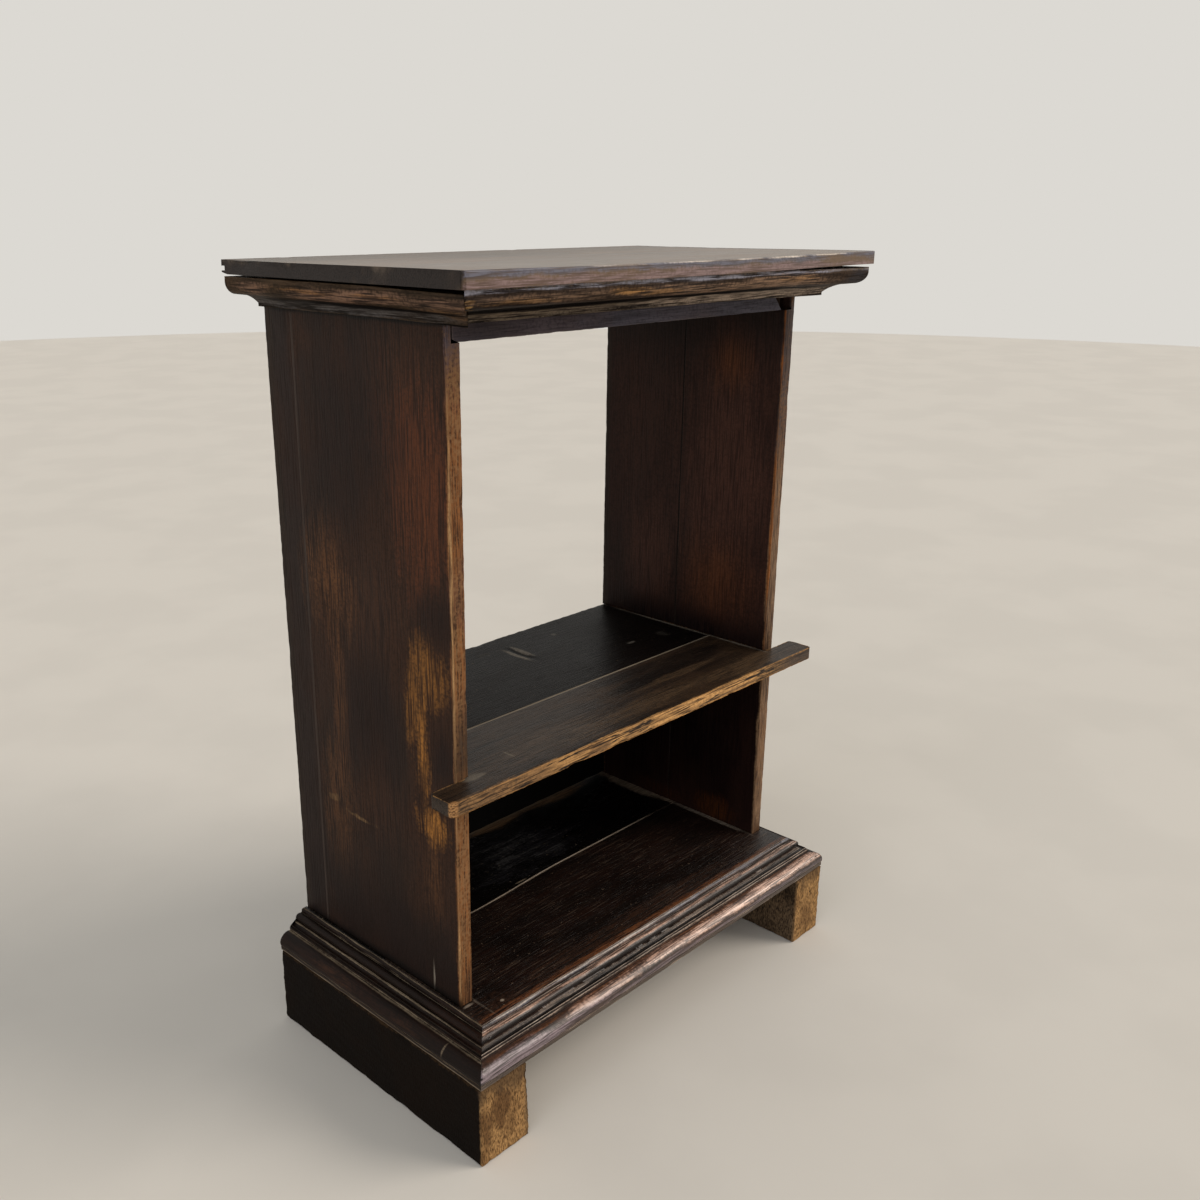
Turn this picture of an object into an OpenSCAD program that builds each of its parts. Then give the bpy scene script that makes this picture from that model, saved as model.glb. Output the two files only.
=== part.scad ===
// Open-shelf side table in dark oak: two sides on a moulded base, a shelf, and a top on a cornice.
// Millimetres. +X is to the right seen from the front, +Y to the back, +Z up.
// The origin is on the floor, under the middle of the top board.

/* [Sides] */
// Width over the outer faces of the two sides
side_spread = 560; // [480:1:700]
// Depth of the sides, front to back
side_depth = 285; // [250:1:340]
// Thickness of the side boards
side_t = 18; // [16:0.5:24]
// Width of the left side's rear board
left_rear_w = 44; // [38:1:130]
// Width of the right side's rear board
right_rear_w = 135; // [100:1:150]
// Thickness of the tongue between a side's two boards
tongue_t = 6; // [4:0.5:8]
// Length of that tongue
tongue_l = 6; // [4:0.5:8]
// Gap at the end of a tongue, and at the end of a board in its housing
end_clear = 0.3; // [0.1:0.1:0.8]
// Depth of the housings in the deck that the sides stand in
side_housing = 4; // [2:0.5:8]

/* [Bays] */
// Height of the lower bay, from the deck to the shelf
lower_bay_h = 253; // [180:1:320]
// Height of the upper bay, from the shelf to the top board
upper_bay_h = 488; // [380:1:600]

/* [Top board] */
// Thickness of the top board
top_t = 16; // [14:0.5:24]
// How far the top board runs out past each side
top_side_out = 46.5; // [42:0.5:60]
// How far the top board runs out in front of the sides
top_front_out = 77; // [60:1:100]
// How far the top board runs out behind the sides
top_rear_out = 5; // [0:0.5:20]
// Radius of the top board's front corners, in plan
top_corner_r = 4; // [1:0.5:12]
// Radius of the worn upper arris along the front
top_arris_r = 2; // [0.5:0.5:4]
// Depth of the plough groove in the top board's back edge
plough_depth = 6; // [2:0.5:10]
// Width of the plough groove
plough_w = 5; // [3:0.5:6]
// Wood left above the plough groove
plough_lip = 7; // [4:0.5:8]
// Length of the chamfer under the top board's back edge
rear_chamfer_l = 10; // [2:0.5:16]
// Height of that chamfer
rear_chamfer_h = 2; // [0.5:0.5:3]

/* [Cornice] */
// Height of the cornice moulding
cornice_h = 32; // [30:0.5:36]
// How far the cornice stands out from what backs it
cornice_out = 41; // [38:0.5:46]
// Height of the flat lip at the top of the cornice
cornice_lip_h = 5.5; // [4:0.5:7]
// Radius of the cornice's ovolo
cornice_ovolo_r = 13; // [10:0.5:14]
// Radius of the cornice's cove
cornice_cove_r = 31.5; // [28:0.5:40]
// How far the cove's centre lies behind the ovolo's centre
cornice_cove_back = 2; // [0:0.5:4]
// How far the fillet at the foot of the cornice stands out
cornice_foot = 3; // [2:0.5:5]
// How far the side lengths sit below the underside of the top board
cornice_drop = 2; // [0:0.5:4]
// How far the side lengths run past the back of the sides
cornice_rear_out = 4; // [0:0.5:10]
// Depth of the packing that sets the front length ahead of the sides
packing_d = 31; // [18:1:40]
// Height of the packing
packing_h = 30; // [20:1:30]

/* [Top rails] */
// Height of the front rail
rail_h = 52; // [44:1:80]
// Thickness of the front rail
rail_t = 18; // [14:0.5:24]
// How far the front rail's left end is let into the side
rail_lap = 11; // [6:0.5:13]
// Gap at the end of the front rail's lap
rail_lap_gap = 1.5; // [0.2:0.1:3]
// How far the front rail stops short of the right side, at its lower edge
rail_short = 9; // [2:0.5:20]
// Slant of the front rail's right end, in degrees from upright
rail_slant = 42; // [0:1:45]
// Height of the rear rail
rear_rail_h = 60; // [44:1:80]
// Thickness of the rear rail
rear_rail_t = 16; // [12:0.5:20]
// How far the rear rail's ends are let into the sides
rear_rail_lap = 9; // [6:0.5:12]

/* [Shelf] */
// Thickness of the shelf boards
shelf_t = 16; // [14:0.5:22]
// How far the shelf runs out in front of the sides
shelf_lip = 35; // [20:1:60]
// Length of the shelf's left ear, past the side
ear_left = 35; // [15:1:60]
// Length of the shelf's right ear, past the side
ear_right = 40; // [15:1:60]
// Radius of the ears' worn corners
ear_corner_r = 5; // [1:0.5:8]
// Width of the shelf's front board, its lip included
shelf_front_w = 124; // [90:1:200]
// Depth of the housings in the sides that hold the shelf
shelf_housing = 6; // [3:0.5:8]
// Open joint between the front and rear boards of the shelf and of the deck
board_gap = 0.4; // [0.1:0.1:0.8]

/* [Deck] */
// Thickness of the deck boards
deck_t = 20; // [16:0.5:26]
// How far the deck runs out past each side
deck_side_out = 5; // [2:0.5:12]
// How far the deck runs out in front of the sides
deck_front_out = 39.8; // [30:0.2:48]
// Width of the deck's front board
deck_front_w = 168; // [120:1:190]

/* [Back panel] */
// Thickness of the lower bay's back panel
panel_t = 9; // [6:0.5:14]
// Depth of the rebates in the sides that take the back panel
panel_rebate = 9; // [6:0.5:11]

/* [Base moulding] */
// How far the base moulding stands out from the deck's edge
base_out = 37.2; // [36:0.1:42]
// Radius of the bead along the deck's edge
bead_r = 3.5; // [2.5:0.1:4]
// Width of the quirk floor outside the bead
quirk_w = 1; // [0.5:0.1:1.5]
// Depth of the quirk below the bead's centre
quirk_d = 1.2; // [0.6:0.1:2]
// Radius of the torus
torus_r = 5; // [4:0.1:5.5]
// How far the torus's centre stands out from the quirk floor's edge
torus_set = 3.1; // [2:0.1:4]
// How far the thin fillet under the torus stands out past the torus
slip_out = 0.9; // [0.3:0.1:1.5]
// Drop from the fillet under the torus to the edge of the hollow
slip_drop = 1.5; // [0.8:0.1:2]
// Radius of the hollow below the torus
hollow_r = 4; // [3.5:0.1:4.5]
// Width of the step that carries the hollow
hollow_step = 6.8; // [6.5:0.1:7.5]
// Tread of the double fillet's lower step
step_tread = 1.7; // [1:0.1:2.5]
// Rise of the double fillet's lower step
step_rise = 2.2; // [1.5:0.1:3]
// Radius of the base moulding's ovolo
base_ovolo_r = 12.2; // [11:0.1:13]
// Height of the ovolo's nose above the foot of the moulding
nose_up = 9; // [7:0.5:10]
// Height of the fillet at the foot of the moulding
foot_fillet_h = 5; // [4:0.5:6]
// How far that fillet lies behind the ovolo's nose
foot_fillet_in = 0.7; // [0.2:0.1:1.5]
// Height of the quirk above that fillet
foot_quirk_h = 1; // [0.5:0.1:1.5]
// Depth of the quirk above that fillet
foot_quirk_d = 1.7; // [1:0.1:3]

/* [Feet] */
// Height of the feet
foot_h = 98; // [60:1:140]
// Width of the left foot
foot_left_w = 68; // [62:1:90]
// Width of the right foot
foot_right_w = 60; // [56:1:90]
// Worn arris along the feet's upper outer edges
foot_arris = 2; // [0.5:0.5:4]

/* [Base bearers] */
// Height of the bearers between the feet and the deck
bearer_h = 23; // [18:1:30]
// Width of the bearers
bearer_w = 45; // [42:1:60]

/* [Glue blocks] */
// Leg of the three-cornered glue blocks
block_leg = 24; // [16:1:30]
// Length of the glue blocks
block_l = 50; // [30:1:70]

/* [Nails] */
// Diameter of the nails' shanks
nail_d = 2.4; // [1.8:0.1:3]
// Diameter of the nails' heads
nail_head_d = 4.6; // [3.6:0.1:5]
// Thickness of the nails' heads
nail_head_t = 1.2; // [0.8:0.1:1.6]
// Gap round a nail in its hole
nail_clear = 0.05; // [0.02:0.01:0.1]
// How deep the cornice nails go into the cornice
cornice_nail_bite = 20; // [12:1:22]
// How deep the packing nails go into the front rail
packing_nail_bite = 14; // [10:1:14]
// How deep the base moulding nails go into the moulding
base_nail_bite = 16; // [10:1:18]
// How deep the side nails go into the sides
side_nail_bite = 29; // [20:1:50]
// Distance of the side nails from the sides' edges and from the deck's joint
side_nail_in = 22; // [20:1:30]
// How deep the foot nails go into the feet
foot_nail_bite = 37; // [20:1:50]
// How deep the bearer nails go into the deck
bearer_nail_bite = 13; // [8:1:13]
// Length of the panel nails
panel_nail_l = 22; // [18:1:30]

/* [Hidden] */
$fn = 64;

// Finishes
old_oak = "#3a2317";
deck_oak = "#2c1812";
rail_oak = "#4a3328";
end_grain_oak = "#5c4228";
pale_pine = "#8a6a46";
iron = "#4b4641";

// Overshoot of a cut past the face that it opens
over = 1;
// Diameter and length of a nail's point
nail_tip_d = 0.6;
nail_tip_l = 4;

// Widths and depths
half_w = side_spread / 2;
inner_x = half_w - side_t;
top_depth = top_front_out + side_depth + top_rear_out;
side_front = top_front_out - top_depth / 2;
side_rear = side_front + side_depth;
deck_half_w = half_w + deck_side_out;
deck_front = side_front - deck_front_out;
deck_joint = deck_front + deck_front_w;
base_half_w = deck_half_w + base_out;
base_front = deck_front - base_out;
cornice_back = side_front - packing_d;
shelf_front = side_front - shelf_lip;
shelf_joint = shelf_front + shelf_front_w;
shelf_end_x = inner_x + shelf_housing - end_clear;
rear_rail_front = side_rear - rear_rail_t;
bearer_inner_x = deck_half_w - bearer_w;
bearer_inner_front = deck_front + bearer_w;
bearer_inner_rear = side_rear - bearer_w;

// Heights
deck_under = foot_h + bearer_h;
deck_top = deck_under + deck_t;
shelf_under = deck_top + lower_bay_h;
shelf_top = shelf_under + shelf_t;
top_under = shelf_top + upper_bay_h;
rail_under = top_under - rail_h;
rear_rail_under = top_under - rear_rail_h;
base_h = deck_t + bearer_h;
bearer_mid = foot_h + bearer_h / 2;
cornice_nail_z = top_under - packing_h / 2;
side_cornice_nail_z = top_under - cornice_drop - cornice_h / 2;

// Where the front rail's slanted end meets the top board
rail_top_x = inner_x - rail_short - rail_h * tan(rail_slant);

// Centres of n equal shares of a stretch
function shares(n, from, to) = [for (i = [0 : n - 1]) from + (to - from) * (i + 0.5) / n];

// Nails, and the holes that take them

// A nail along +Z, with the outer face of its head at the origin
module nail(l) {
    cylinder(d = nail_head_d, h = nail_head_t);
    cylinder(d = nail_d, h = l - nail_tip_l);
    translate([0, 0, l - nail_tip_l])
        cylinder(d1 = nail_d, d2 = nail_tip_d, h = nail_tip_l);
}

// The hole for that nail, open at the head
module nail_hole(l) {
    translate([0, 0, -over])
        cylinder(d = nail_head_d + 2 * nail_clear, h = nail_head_t + nail_clear + over);
    cylinder(d = nail_d + 2 * nail_clear, h = l + nail_clear);
}

// From the packing's back face forward into the front cornice
module at_front_cornice_nails() {
    for (x = shares(4, -half_w, half_w))
        translate([x, side_front, cornice_nail_z])
            rotate([90, 0, 0])
                children();
}

// From the inner face of one side outward into its cornice: two in the front board and one in the rear,
// which has the given width. Drawn for the right side
module at_side_cornice_nails(rear_w) {
    joint = side_rear - rear_w;
    for (y = concat(shares(2, side_front + rail_t, joint - tongue_l), shares(1, joint, rear_rail_front)))
        translate([inner_x, y, side_cornice_nail_z])
            rotate([0, 90, 0])
                children();
}

// From the packing's front face back into the front rail
module at_packing_nails() {
    for (x = shares(3, -inner_x, rail_top_x))
        translate([x, cornice_back, cornice_nail_z])
            rotate([-90, 0, 0])
                children();
}

// From the front bearer's inner face forward into the base moulding
module at_front_base_nails() {
    for (x = shares(4, -bearer_inner_x, bearer_inner_x))
        translate([x, bearer_inner_front, bearer_mid])
            rotate([90, 0, 0])
                children();
}

// From one side bearer's inner face outward into its moulding, drawn for the right side
module at_side_base_nails() {
    for (y = shares(4, bearer_inner_front, bearer_inner_rear))
        translate([bearer_inner_x, y, bearer_mid])
            rotate([0, 90, 0])
                children();
}

// Up through the deck into the foot of one side, clear of the deck's joint, drawn for the right side
module at_side_nails() {
    for (y = [side_front + side_nail_in, deck_joint - side_nail_in, side_rear - side_nail_in])
        translate([half_w - side_t / 2, y, deck_under])
            children();
}

// Down through one side bearer into its foot, drawn for the right side
module at_foot_nails() {
    for (y = shares(3, bearer_inner_front, bearer_inner_rear))
        translate([half_w - side_t / 2, y, deck_under])
            rotate([180, 0, 0])
                children();
}

// Up through the front and rear bearers into the deck
module at_cross_bearer_nails() {
    for (x = shares(3, -bearer_inner_x, bearer_inner_x))
        for (y = [deck_front + bearer_w / 2, side_rear - bearer_w / 2])
            translate([x, y, foot_h])
                children();
}

// Up through one side bearer into the deck, inboard of the foot, drawn for the right side
module at_side_bearer_nails() {
    for (y = shares(2, bearer_inner_front, bearer_inner_rear))
        translate([bearer_inner_x + nail_head_d, y, foot_h])
            children();
}

// Forward through the back panel into one side's rebate, drawn for the right side
module at_panel_nails() {
    for (z = shares(3, deck_top, shelf_under))
        translate([inner_x + panel_rebate / 2, side_rear, z])
            rotate([90, 0, 0])
                children();
}

front_cornice_nail_l = packing_d + cornice_nail_bite;
side_cornice_nail_l = side_t + cornice_nail_bite;
packing_nail_l = packing_d + packing_nail_bite;
base_nail_l = bearer_w + base_nail_bite;
side_nail_l = deck_t - side_housing + side_nail_bite;
foot_nail_l = bearer_h + foot_nail_bite;
bearer_nail_l = bearer_h + bearer_nail_bite;

// Draws its children on the right, and mirrored on the left
module both_sides() {
    children();
    mirror([1, 0, 0])
        children();
}

// Top board

// Waste outside a rounded corner at the origin, whose edges run along +X and +Y
module corner_waste(r) {
    difference() {
        translate([-over, -over])
            square(r + over);
        translate([r, r])
            circle(r);
        translate([r, -2 * over])
            square(r + 2 * over);
        translate([-2 * over, r])
            square(r + 2 * over);
    }
}

// Section of the top board: front edge at zero, underside at zero
module top_section() {
    groove_top = top_t - plough_lip;
    difference() {
        square([top_depth, top_t]);
        translate([top_depth - plough_depth, groove_top - plough_w])
            square([plough_depth + over, plough_w]);
        polygon([
            [top_depth - rear_chamfer_l, 0],
            [top_depth, rear_chamfer_h],
            [top_depth + over, rear_chamfer_h],
            [top_depth + over, -over],
            [top_depth - rear_chamfer_l, -over]
        ]);
        translate([0, top_t])
            mirror([0, 1])
                corner_waste(top_arris_r);
    }
}

module top_board() {
    top_half_w = half_w + top_side_out;
    color(rail_oak)
        difference() {
            translate([-top_half_w, -top_depth / 2, top_under])
                rotate([90, 0, 90])
                    linear_extrude(2 * top_half_w)
                        top_section();
            both_sides()
                translate([top_half_w, -top_depth / 2, top_under - over])
                    mirror([1, 0, 0])
                        linear_extrude(top_t + 2 * over)
                            corner_waste(top_corner_r);
        }
}

// Mouldings, mitred at the front corners

// Plan of a front length: its back runs across at y = back, out to half_run each way
module front_mitre(half_run, back, out, low, high) {
    translate([0, 0, low])
        linear_extrude(high - low)
            polygon([
                [-half_run, back],
                [half_run, back],
                [half_run + out, back - out],
                [-half_run - out, back - out]
            ]);
}

// Plan of a right-hand length: its back runs along x = back_x, from the mitre to y = rear
module side_mitre(back_x, back, rear, out, low, high) {
    translate([0, 0, low])
        linear_extrude(high - low)
            polygon([
                [back_x, back],
                [back_x + out, back - out],
                [back_x + out, rear],
                [back_x, rear]
            ]);
}

// Runs a section along the front: +X of the section points to the front
module front_run(half_run, back, top) {
    translate([-half_run, back, top])
        mirror([0, 1, 0])
            rotate([90, 0, 90])
                linear_extrude(2 * half_run)
                    children();
}

// Runs a section along the right-hand side: +X of the section points to the right
module side_run(back_x, front, rear, top) {
    translate([back_x, rear, top])
        rotate([90, 0, 0])
            linear_extrude(rear - front)
                children();
}

// Section of the cornice: back at zero, top at zero
module cornice_section() {
    ovolo_x = cornice_out - cornice_ovolo_r;
    ovolo_low = cornice_lip_h + cornice_ovolo_r;
    difference() {
        union() {
            translate([0, -cornice_h])
                square([ovolo_x, cornice_h]);
            translate([0, -cornice_lip_h])
                square([cornice_out, cornice_lip_h]);
            intersection() {
                translate([ovolo_x, -cornice_lip_h])
                    circle(cornice_ovolo_r);
                translate([0, -cornice_h])
                    square([cornice_out, cornice_h]);
            }
        }
        intersection() {
            translate([ovolo_x - cornice_cove_back, -ovolo_low - cornice_cove_r])
                circle(cornice_cove_r);
            translate([cornice_foot, -cornice_h - over])
                square([cornice_out, cornice_h]);
        }
    }
}

module cornice_front() {
    color(rail_oak)
        difference() {
            intersection() {
                front_run(half_w + cornice_out, cornice_back, top_under)
                    cornice_section();
                front_mitre(half_w, cornice_back, cornice_out, top_under - cornice_h, top_under);
            }
            at_front_cornice_nails()
                nail_hole(front_cornice_nail_l);
        }
}

// The right-hand length of the cornice, on a side whose rear board has the given width
module cornice_side(rear_w) {
    side_top = top_under - cornice_drop;
    rear = side_rear + cornice_rear_out;
    color(rail_oak)
        difference() {
            intersection() {
                side_run(half_w, cornice_back - cornice_out, rear, side_top)
                    cornice_section();
                side_mitre(half_w, cornice_back, rear, cornice_out, side_top - cornice_h, side_top);
            }
            at_side_cornice_nails(rear_w)
                nail_hole(side_cornice_nail_l);
        }
}

module cornice_left() {
    mirror([1, 0, 0])
        cornice_side(left_rear_w);
}

module cornice_right() {
    cornice_side(right_rear_w);
}

module cornice_packing() {
    color(pale_pine)
        difference() {
            translate([-half_w, cornice_back, top_under - packing_h])
                cube([side_spread, packing_d, packing_h]);
            at_front_cornice_nails()
                nail_hole(front_cornice_nail_l);
            at_packing_nails()
                nail_hole(packing_nail_l);
        }
}

// Section of the base moulding: back at zero, top at zero, from the bead down to the foot fillet
module base_section() {
    quirk_x = bead_r + quirk_w;
    quirk_z = bead_r + quirk_d;
    torus_x = quirk_x + torus_set;
    torus_low = quirk_z + 2 * torus_r;
    slip_x = torus_x + torus_r + slip_out;
    slip_z = torus_low - quirk_d / 4;
    hollow_z = slip_z + slip_drop;
    step_1 = slip_x + hollow_step;
    step_2 = step_1 + step_tread;
    step_z = hollow_z + step_rise;
    ovolo_x = base_out - base_ovolo_r;
    ovolo_z = base_h - nose_up;
    fillet_x = base_out - foot_fillet_in;
    quirk_top = base_h - foot_fillet_h - foot_quirk_h;
    intersection() {
        translate([0, -base_h])
            square([base_out, base_h]);
        difference() {
            union() {
                translate([0, -bead_r])
                    circle(bead_r);
                translate([0, -base_h])
                    square([bead_r, base_h - bead_r]);
                translate([0, -base_h])
                    square([quirk_x, base_h - quirk_z]);
                translate([torus_x, -quirk_z - torus_r])
                    circle(torus_r);
                translate([0, -base_h])
                    square([slip_x, base_h - slip_z]);
                translate([0, -base_h])
                    square([step_1, base_h - hollow_z]);
                translate([0, -base_h])
                    square([step_2, base_h - step_z]);
                translate([ovolo_x, -ovolo_z])
                    circle(base_ovolo_r);
                translate([0, -base_h])
                    square([fillet_x, foot_fillet_h]);
                translate([0, -base_h])
                    square([fillet_x - foot_quirk_d, nose_up]);
            }
            translate([slip_x + hollow_step / 2, -slip_z + slip_drop])
                circle(hollow_r);
            translate([fillet_x - foot_quirk_d, -quirk_top - foot_quirk_h])
                square([foot_quirk_d + base_out, foot_quirk_h]);
        }
    }
}

module base_moulding_front() {
    color(old_oak)
        difference() {
            intersection() {
                front_run(base_half_w, deck_front, deck_top)
                    base_section();
                front_mitre(deck_half_w, deck_front, base_out, foot_h, deck_top);
            }
            at_front_base_nails()
                nail_hole(base_nail_l);
        }
}

// The right-hand length of the base moulding
module base_moulding_side() {
    color(old_oak)
        difference() {
            intersection() {
                side_run(deck_half_w, base_front, side_rear, deck_top)
                    base_section();
                side_mitre(deck_half_w, deck_front, side_rear, base_out, foot_h, deck_top);
            }
            at_side_base_nails()
                nail_hole(base_nail_l);
        }
}

module base_moulding_left() {
    mirror([1, 0, 0])
        base_moulding_side();
}

module base_moulding_right() {
    base_moulding_side();
}

// Top rails and glue blocks

module front_rail() {
    left_x = -inner_x - rail_lap + rail_lap_gap;
    color(rail_oak)
        difference() {
            translate([0, side_front + rail_t, top_under])
                rotate([90, 0, 0])
                    linear_extrude(rail_t)
                        polygon([
                            [left_x, -rail_h],
                            [inner_x - rail_short, -rail_h],
                            [rail_top_x, 0],
                            [left_x, 0]
                        ]);
            at_packing_nails()
                nail_hole(packing_nail_l);
        }
}

module rear_rail() {
    end_x = inner_x + rear_rail_lap - end_clear;
    color(old_oak)
        translate([-end_x, rear_rail_front, rear_rail_under])
            cube([2 * end_x, rear_rail_t, rear_rail_h]);
}

// A glue block along +X in the corner between the planes y = 0 and z = 0, below and in front of them
module glue_block() {
    translate([-block_l / 2, 0, 0])
        rotate([90, 0, 90])
            linear_extrude(block_l)
                polygon([[0, 0], [-block_leg, 0], [0, -block_leg]]);
}

module top_glue_blocks() {
    color(pale_pine) {
        both_sides()
            for (y = shares(2, side_front + rail_t, rear_rail_front))
                translate([inner_x, y, top_under])
                    rotate([0, 0, -90])
                        glue_block();
        for (x = shares(2, -inner_x, rail_top_x))
            translate([x, side_front + rail_t, top_under])
                rotate([0, 0, 180])
                    glue_block();
    }
}

// Sides, drawn for the right side

// What is cut from the boards of a side whose rear board has the given width
module side_cuts(rear_w) {
    // Housing for the shelf
    translate([inner_x - over, side_front - over, shelf_under])
        cube([shelf_housing + over, side_depth + 2 * over, shelf_t]);
    // Notch for the front rail
    translate([inner_x - over, side_front - over, rail_under])
        cube([rail_lap + over, rail_t + over, rail_h + over]);
    // Notch for the rear rail
    translate([inner_x - over, rear_rail_front, rear_rail_under])
        cube([rear_rail_lap + over, rear_rail_t + over, rear_rail_h + over]);
    // Rebate for the back panel
    translate([inner_x - over, side_rear - panel_t, deck_top])
        cube([panel_rebate + over, panel_t + over, lower_bay_h]);
    at_side_cornice_nails(rear_w)
        nail_hole(side_cornice_nail_l);
    at_side_nails()
        nail_hole(side_nail_l);
    at_panel_nails()
        nail_hole(panel_nail_l);
}

// A piece of side board between two depths, before it is cut
module side_blank(from, to) {
    low = deck_top - side_housing;
    translate([inner_x, from, low])
        cube([side_t, to - from, top_under - low]);
}

// The tongue in the middle of a side's thickness, with the given room round it
module side_tongue(joint, room, end_room) {
    low = deck_top - side_housing;
    translate([half_w - side_t / 2 - tongue_t / 2 - room, joint - tongue_l - end_room, low])
        cube([tongue_t + 2 * room, tongue_l + end_room, top_under - low]);
}

module side_front_board(rear_w) {
    joint = side_rear - rear_w;
    color(old_oak)
        difference() {
            side_blank(side_front, joint);
            side_tongue(joint, 0, end_clear);
            side_cuts(rear_w);
        }
}

module side_rear_board(rear_w) {
    joint = side_rear - rear_w;
    color(old_oak)
        difference() {
            union() {
                side_blank(joint, side_rear);
                side_tongue(joint, 0, 0);
            }
            side_cuts(rear_w);
        }
}

module left_side_front_board() {
    mirror([1, 0, 0])
        side_front_board(left_rear_w);
}

module left_side_rear_board() {
    mirror([1, 0, 0])
        side_rear_board(left_rear_w);
}

module right_side_front_board() {
    side_front_board(right_rear_w);
}

module right_side_rear_board() {
    side_rear_board(right_rear_w);
}

// Shelf

// Plan of an ear and its half of the lip, drawn for the right side
module ear_plan(ear) {
    difference() {
        translate([0, shelf_front])
            square([half_w + ear, shelf_lip]);
        translate([half_w + ear, shelf_front])
            mirror([1, 0])
                corner_waste(ear_corner_r);
        translate([half_w + ear, side_front])
            mirror([1, 0])
                mirror([0, 1])
                    corner_waste(ear_corner_r);
    }
}

module shelf_front_board() {
    color(old_oak)
        translate([0, 0, shelf_under])
            linear_extrude(shelf_t)
                union() {
                    ear_plan(ear_right);
                    mirror([1, 0])
                        ear_plan(ear_left);
                    translate([-shelf_end_x, side_front])
                        square([2 * shelf_end_x, shelf_joint - side_front]);
                }
}

module shelf_rear_board() {
    back_edge = shelf_joint + board_gap;
    color(old_oak)
        translate([-shelf_end_x, back_edge, shelf_under])
            cube([2 * shelf_end_x, side_rear - back_edge, shelf_t]);
}

// Deck and back panel

// A deck board between two depths, with the housings that the sides stand in
module deck_board(from, to) {
    color(deck_oak)
        difference() {
            translate([-deck_half_w, from, deck_under])
                cube([2 * deck_half_w, to - from, deck_t]);
            both_sides() {
                translate([inner_x, side_front, deck_top - side_housing])
                    cube([side_t, side_depth + over, side_housing + over]);
                at_side_nails()
                    nail_hole(side_nail_l);
                at_side_bearer_nails()
                    nail_hole(bearer_nail_l);
            }
            at_cross_bearer_nails()
                nail_hole(bearer_nail_l);
        }
}

module deck_front_board() {
    deck_board(deck_front, deck_joint);
}

module deck_rear_board() {
    deck_board(deck_joint + board_gap, side_rear);
}

module lower_back_panel() {
    end_x = inner_x + panel_rebate - end_clear;
    color(deck_oak)
        difference() {
            translate([-end_x, side_rear - panel_t, deck_top])
                cube([2 * end_x, panel_t, lower_bay_h]);
            both_sides()
                at_panel_nails()
                    nail_hole(panel_nail_l);
        }
}

// Feet and bearers

// A foot on the right: a full-depth block, with its upper front and outer arrises worn off
module foot(w) {
    depth = side_rear - base_front;
    color(end_grain_oak)
        difference() {
            translate([base_half_w - w, base_front, 0])
                cube([w, depth, foot_h]);
            translate([base_half_w, base_front + depth / 2, foot_h])
                rotate([0, 45, 0])
                    cube([foot_arris * sqrt(2), depth + 2 * over, foot_arris * sqrt(2)], center = true);
            translate([base_half_w - w / 2, base_front, foot_h])
                rotate([45, 0, 0])
                    cube([w + 2 * over, foot_arris * sqrt(2), foot_arris * sqrt(2)], center = true);
            at_foot_nails()
                nail_hole(foot_nail_l);
        }
}

module left_foot() {
    mirror([1, 0, 0])
        foot(foot_left_w);
}

module right_foot() {
    foot(foot_right_w);
}

// A bearer over the right foot, halved on top at both ends
module side_bearer() {
    color(pale_pine)
        difference() {
            translate([bearer_inner_x, deck_front, foot_h])
                cube([bearer_w, side_rear - deck_front, bearer_h]);
            translate([bearer_inner_x - over, deck_front - over, bearer_mid])
                cube([bearer_w + 2 * over, bearer_w + over, bearer_h]);
            translate([bearer_inner_x - over, bearer_inner_rear, bearer_mid])
                cube([bearer_w + 2 * over, bearer_w + over, bearer_h]);
            at_side_base_nails()
                nail_hole(base_nail_l);
            at_foot_nails()
                nail_hole(foot_nail_l);
            at_side_bearer_nails()
                nail_hole(bearer_nail_l);
        }
}

module left_bearer() {
    mirror([1, 0, 0])
        side_bearer();
}

module right_bearer() {
    side_bearer();
}

// A bearer across the base from the given depth, halved below at both ends
module cross_bearer(from) {
    difference() {
        translate([-deck_half_w, from, foot_h])
            cube([2 * deck_half_w, bearer_w, bearer_h]);
        both_sides()
            translate([bearer_inner_x, from - over, foot_h - over])
                cube([bearer_w + over, bearer_w + 2 * over, bearer_h / 2 + over]);
        at_cross_bearer_nails()
            nail_hole(bearer_nail_l);
    }
}

module front_bearer() {
    color(pale_pine)
        difference() {
            cross_bearer(deck_front);
            at_front_base_nails()
                nail_hole(base_nail_l);
        }
}

module rear_bearer() {
    color(pale_pine)
        cross_bearer(bearer_inner_rear);
}

// Nails, one group to a node

module cornice_nails() {
    color(iron) {
        at_front_cornice_nails()
            nail(front_cornice_nail_l);
        mirror([1, 0, 0])
            at_side_cornice_nails(left_rear_w)
                nail(side_cornice_nail_l);
        at_side_cornice_nails(right_rear_w)
            nail(side_cornice_nail_l);
    }
}

module packing_nails() {
    color(iron)
        at_packing_nails()
            nail(packing_nail_l);
}

module base_moulding_nails() {
    color(iron) {
        at_front_base_nails()
            nail(base_nail_l);
        both_sides()
            at_side_base_nails()
                nail(base_nail_l);
    }
}

module side_nails() {
    color(iron)
        both_sides()
            at_side_nails()
                nail(side_nail_l);
}

module foot_nails() {
    color(iron)
        both_sides()
            at_foot_nails()
                nail(foot_nail_l);
}

module bearer_nails() {
    color(iron) {
        at_cross_bearer_nails()
            nail(bearer_nail_l);
        both_sides()
            at_side_bearer_nails()
                nail(bearer_nail_l);
    }
}

module panel_nails() {
    color(iron)
        both_sides()
            at_panel_nails()
                nail(panel_nail_l);
}

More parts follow.
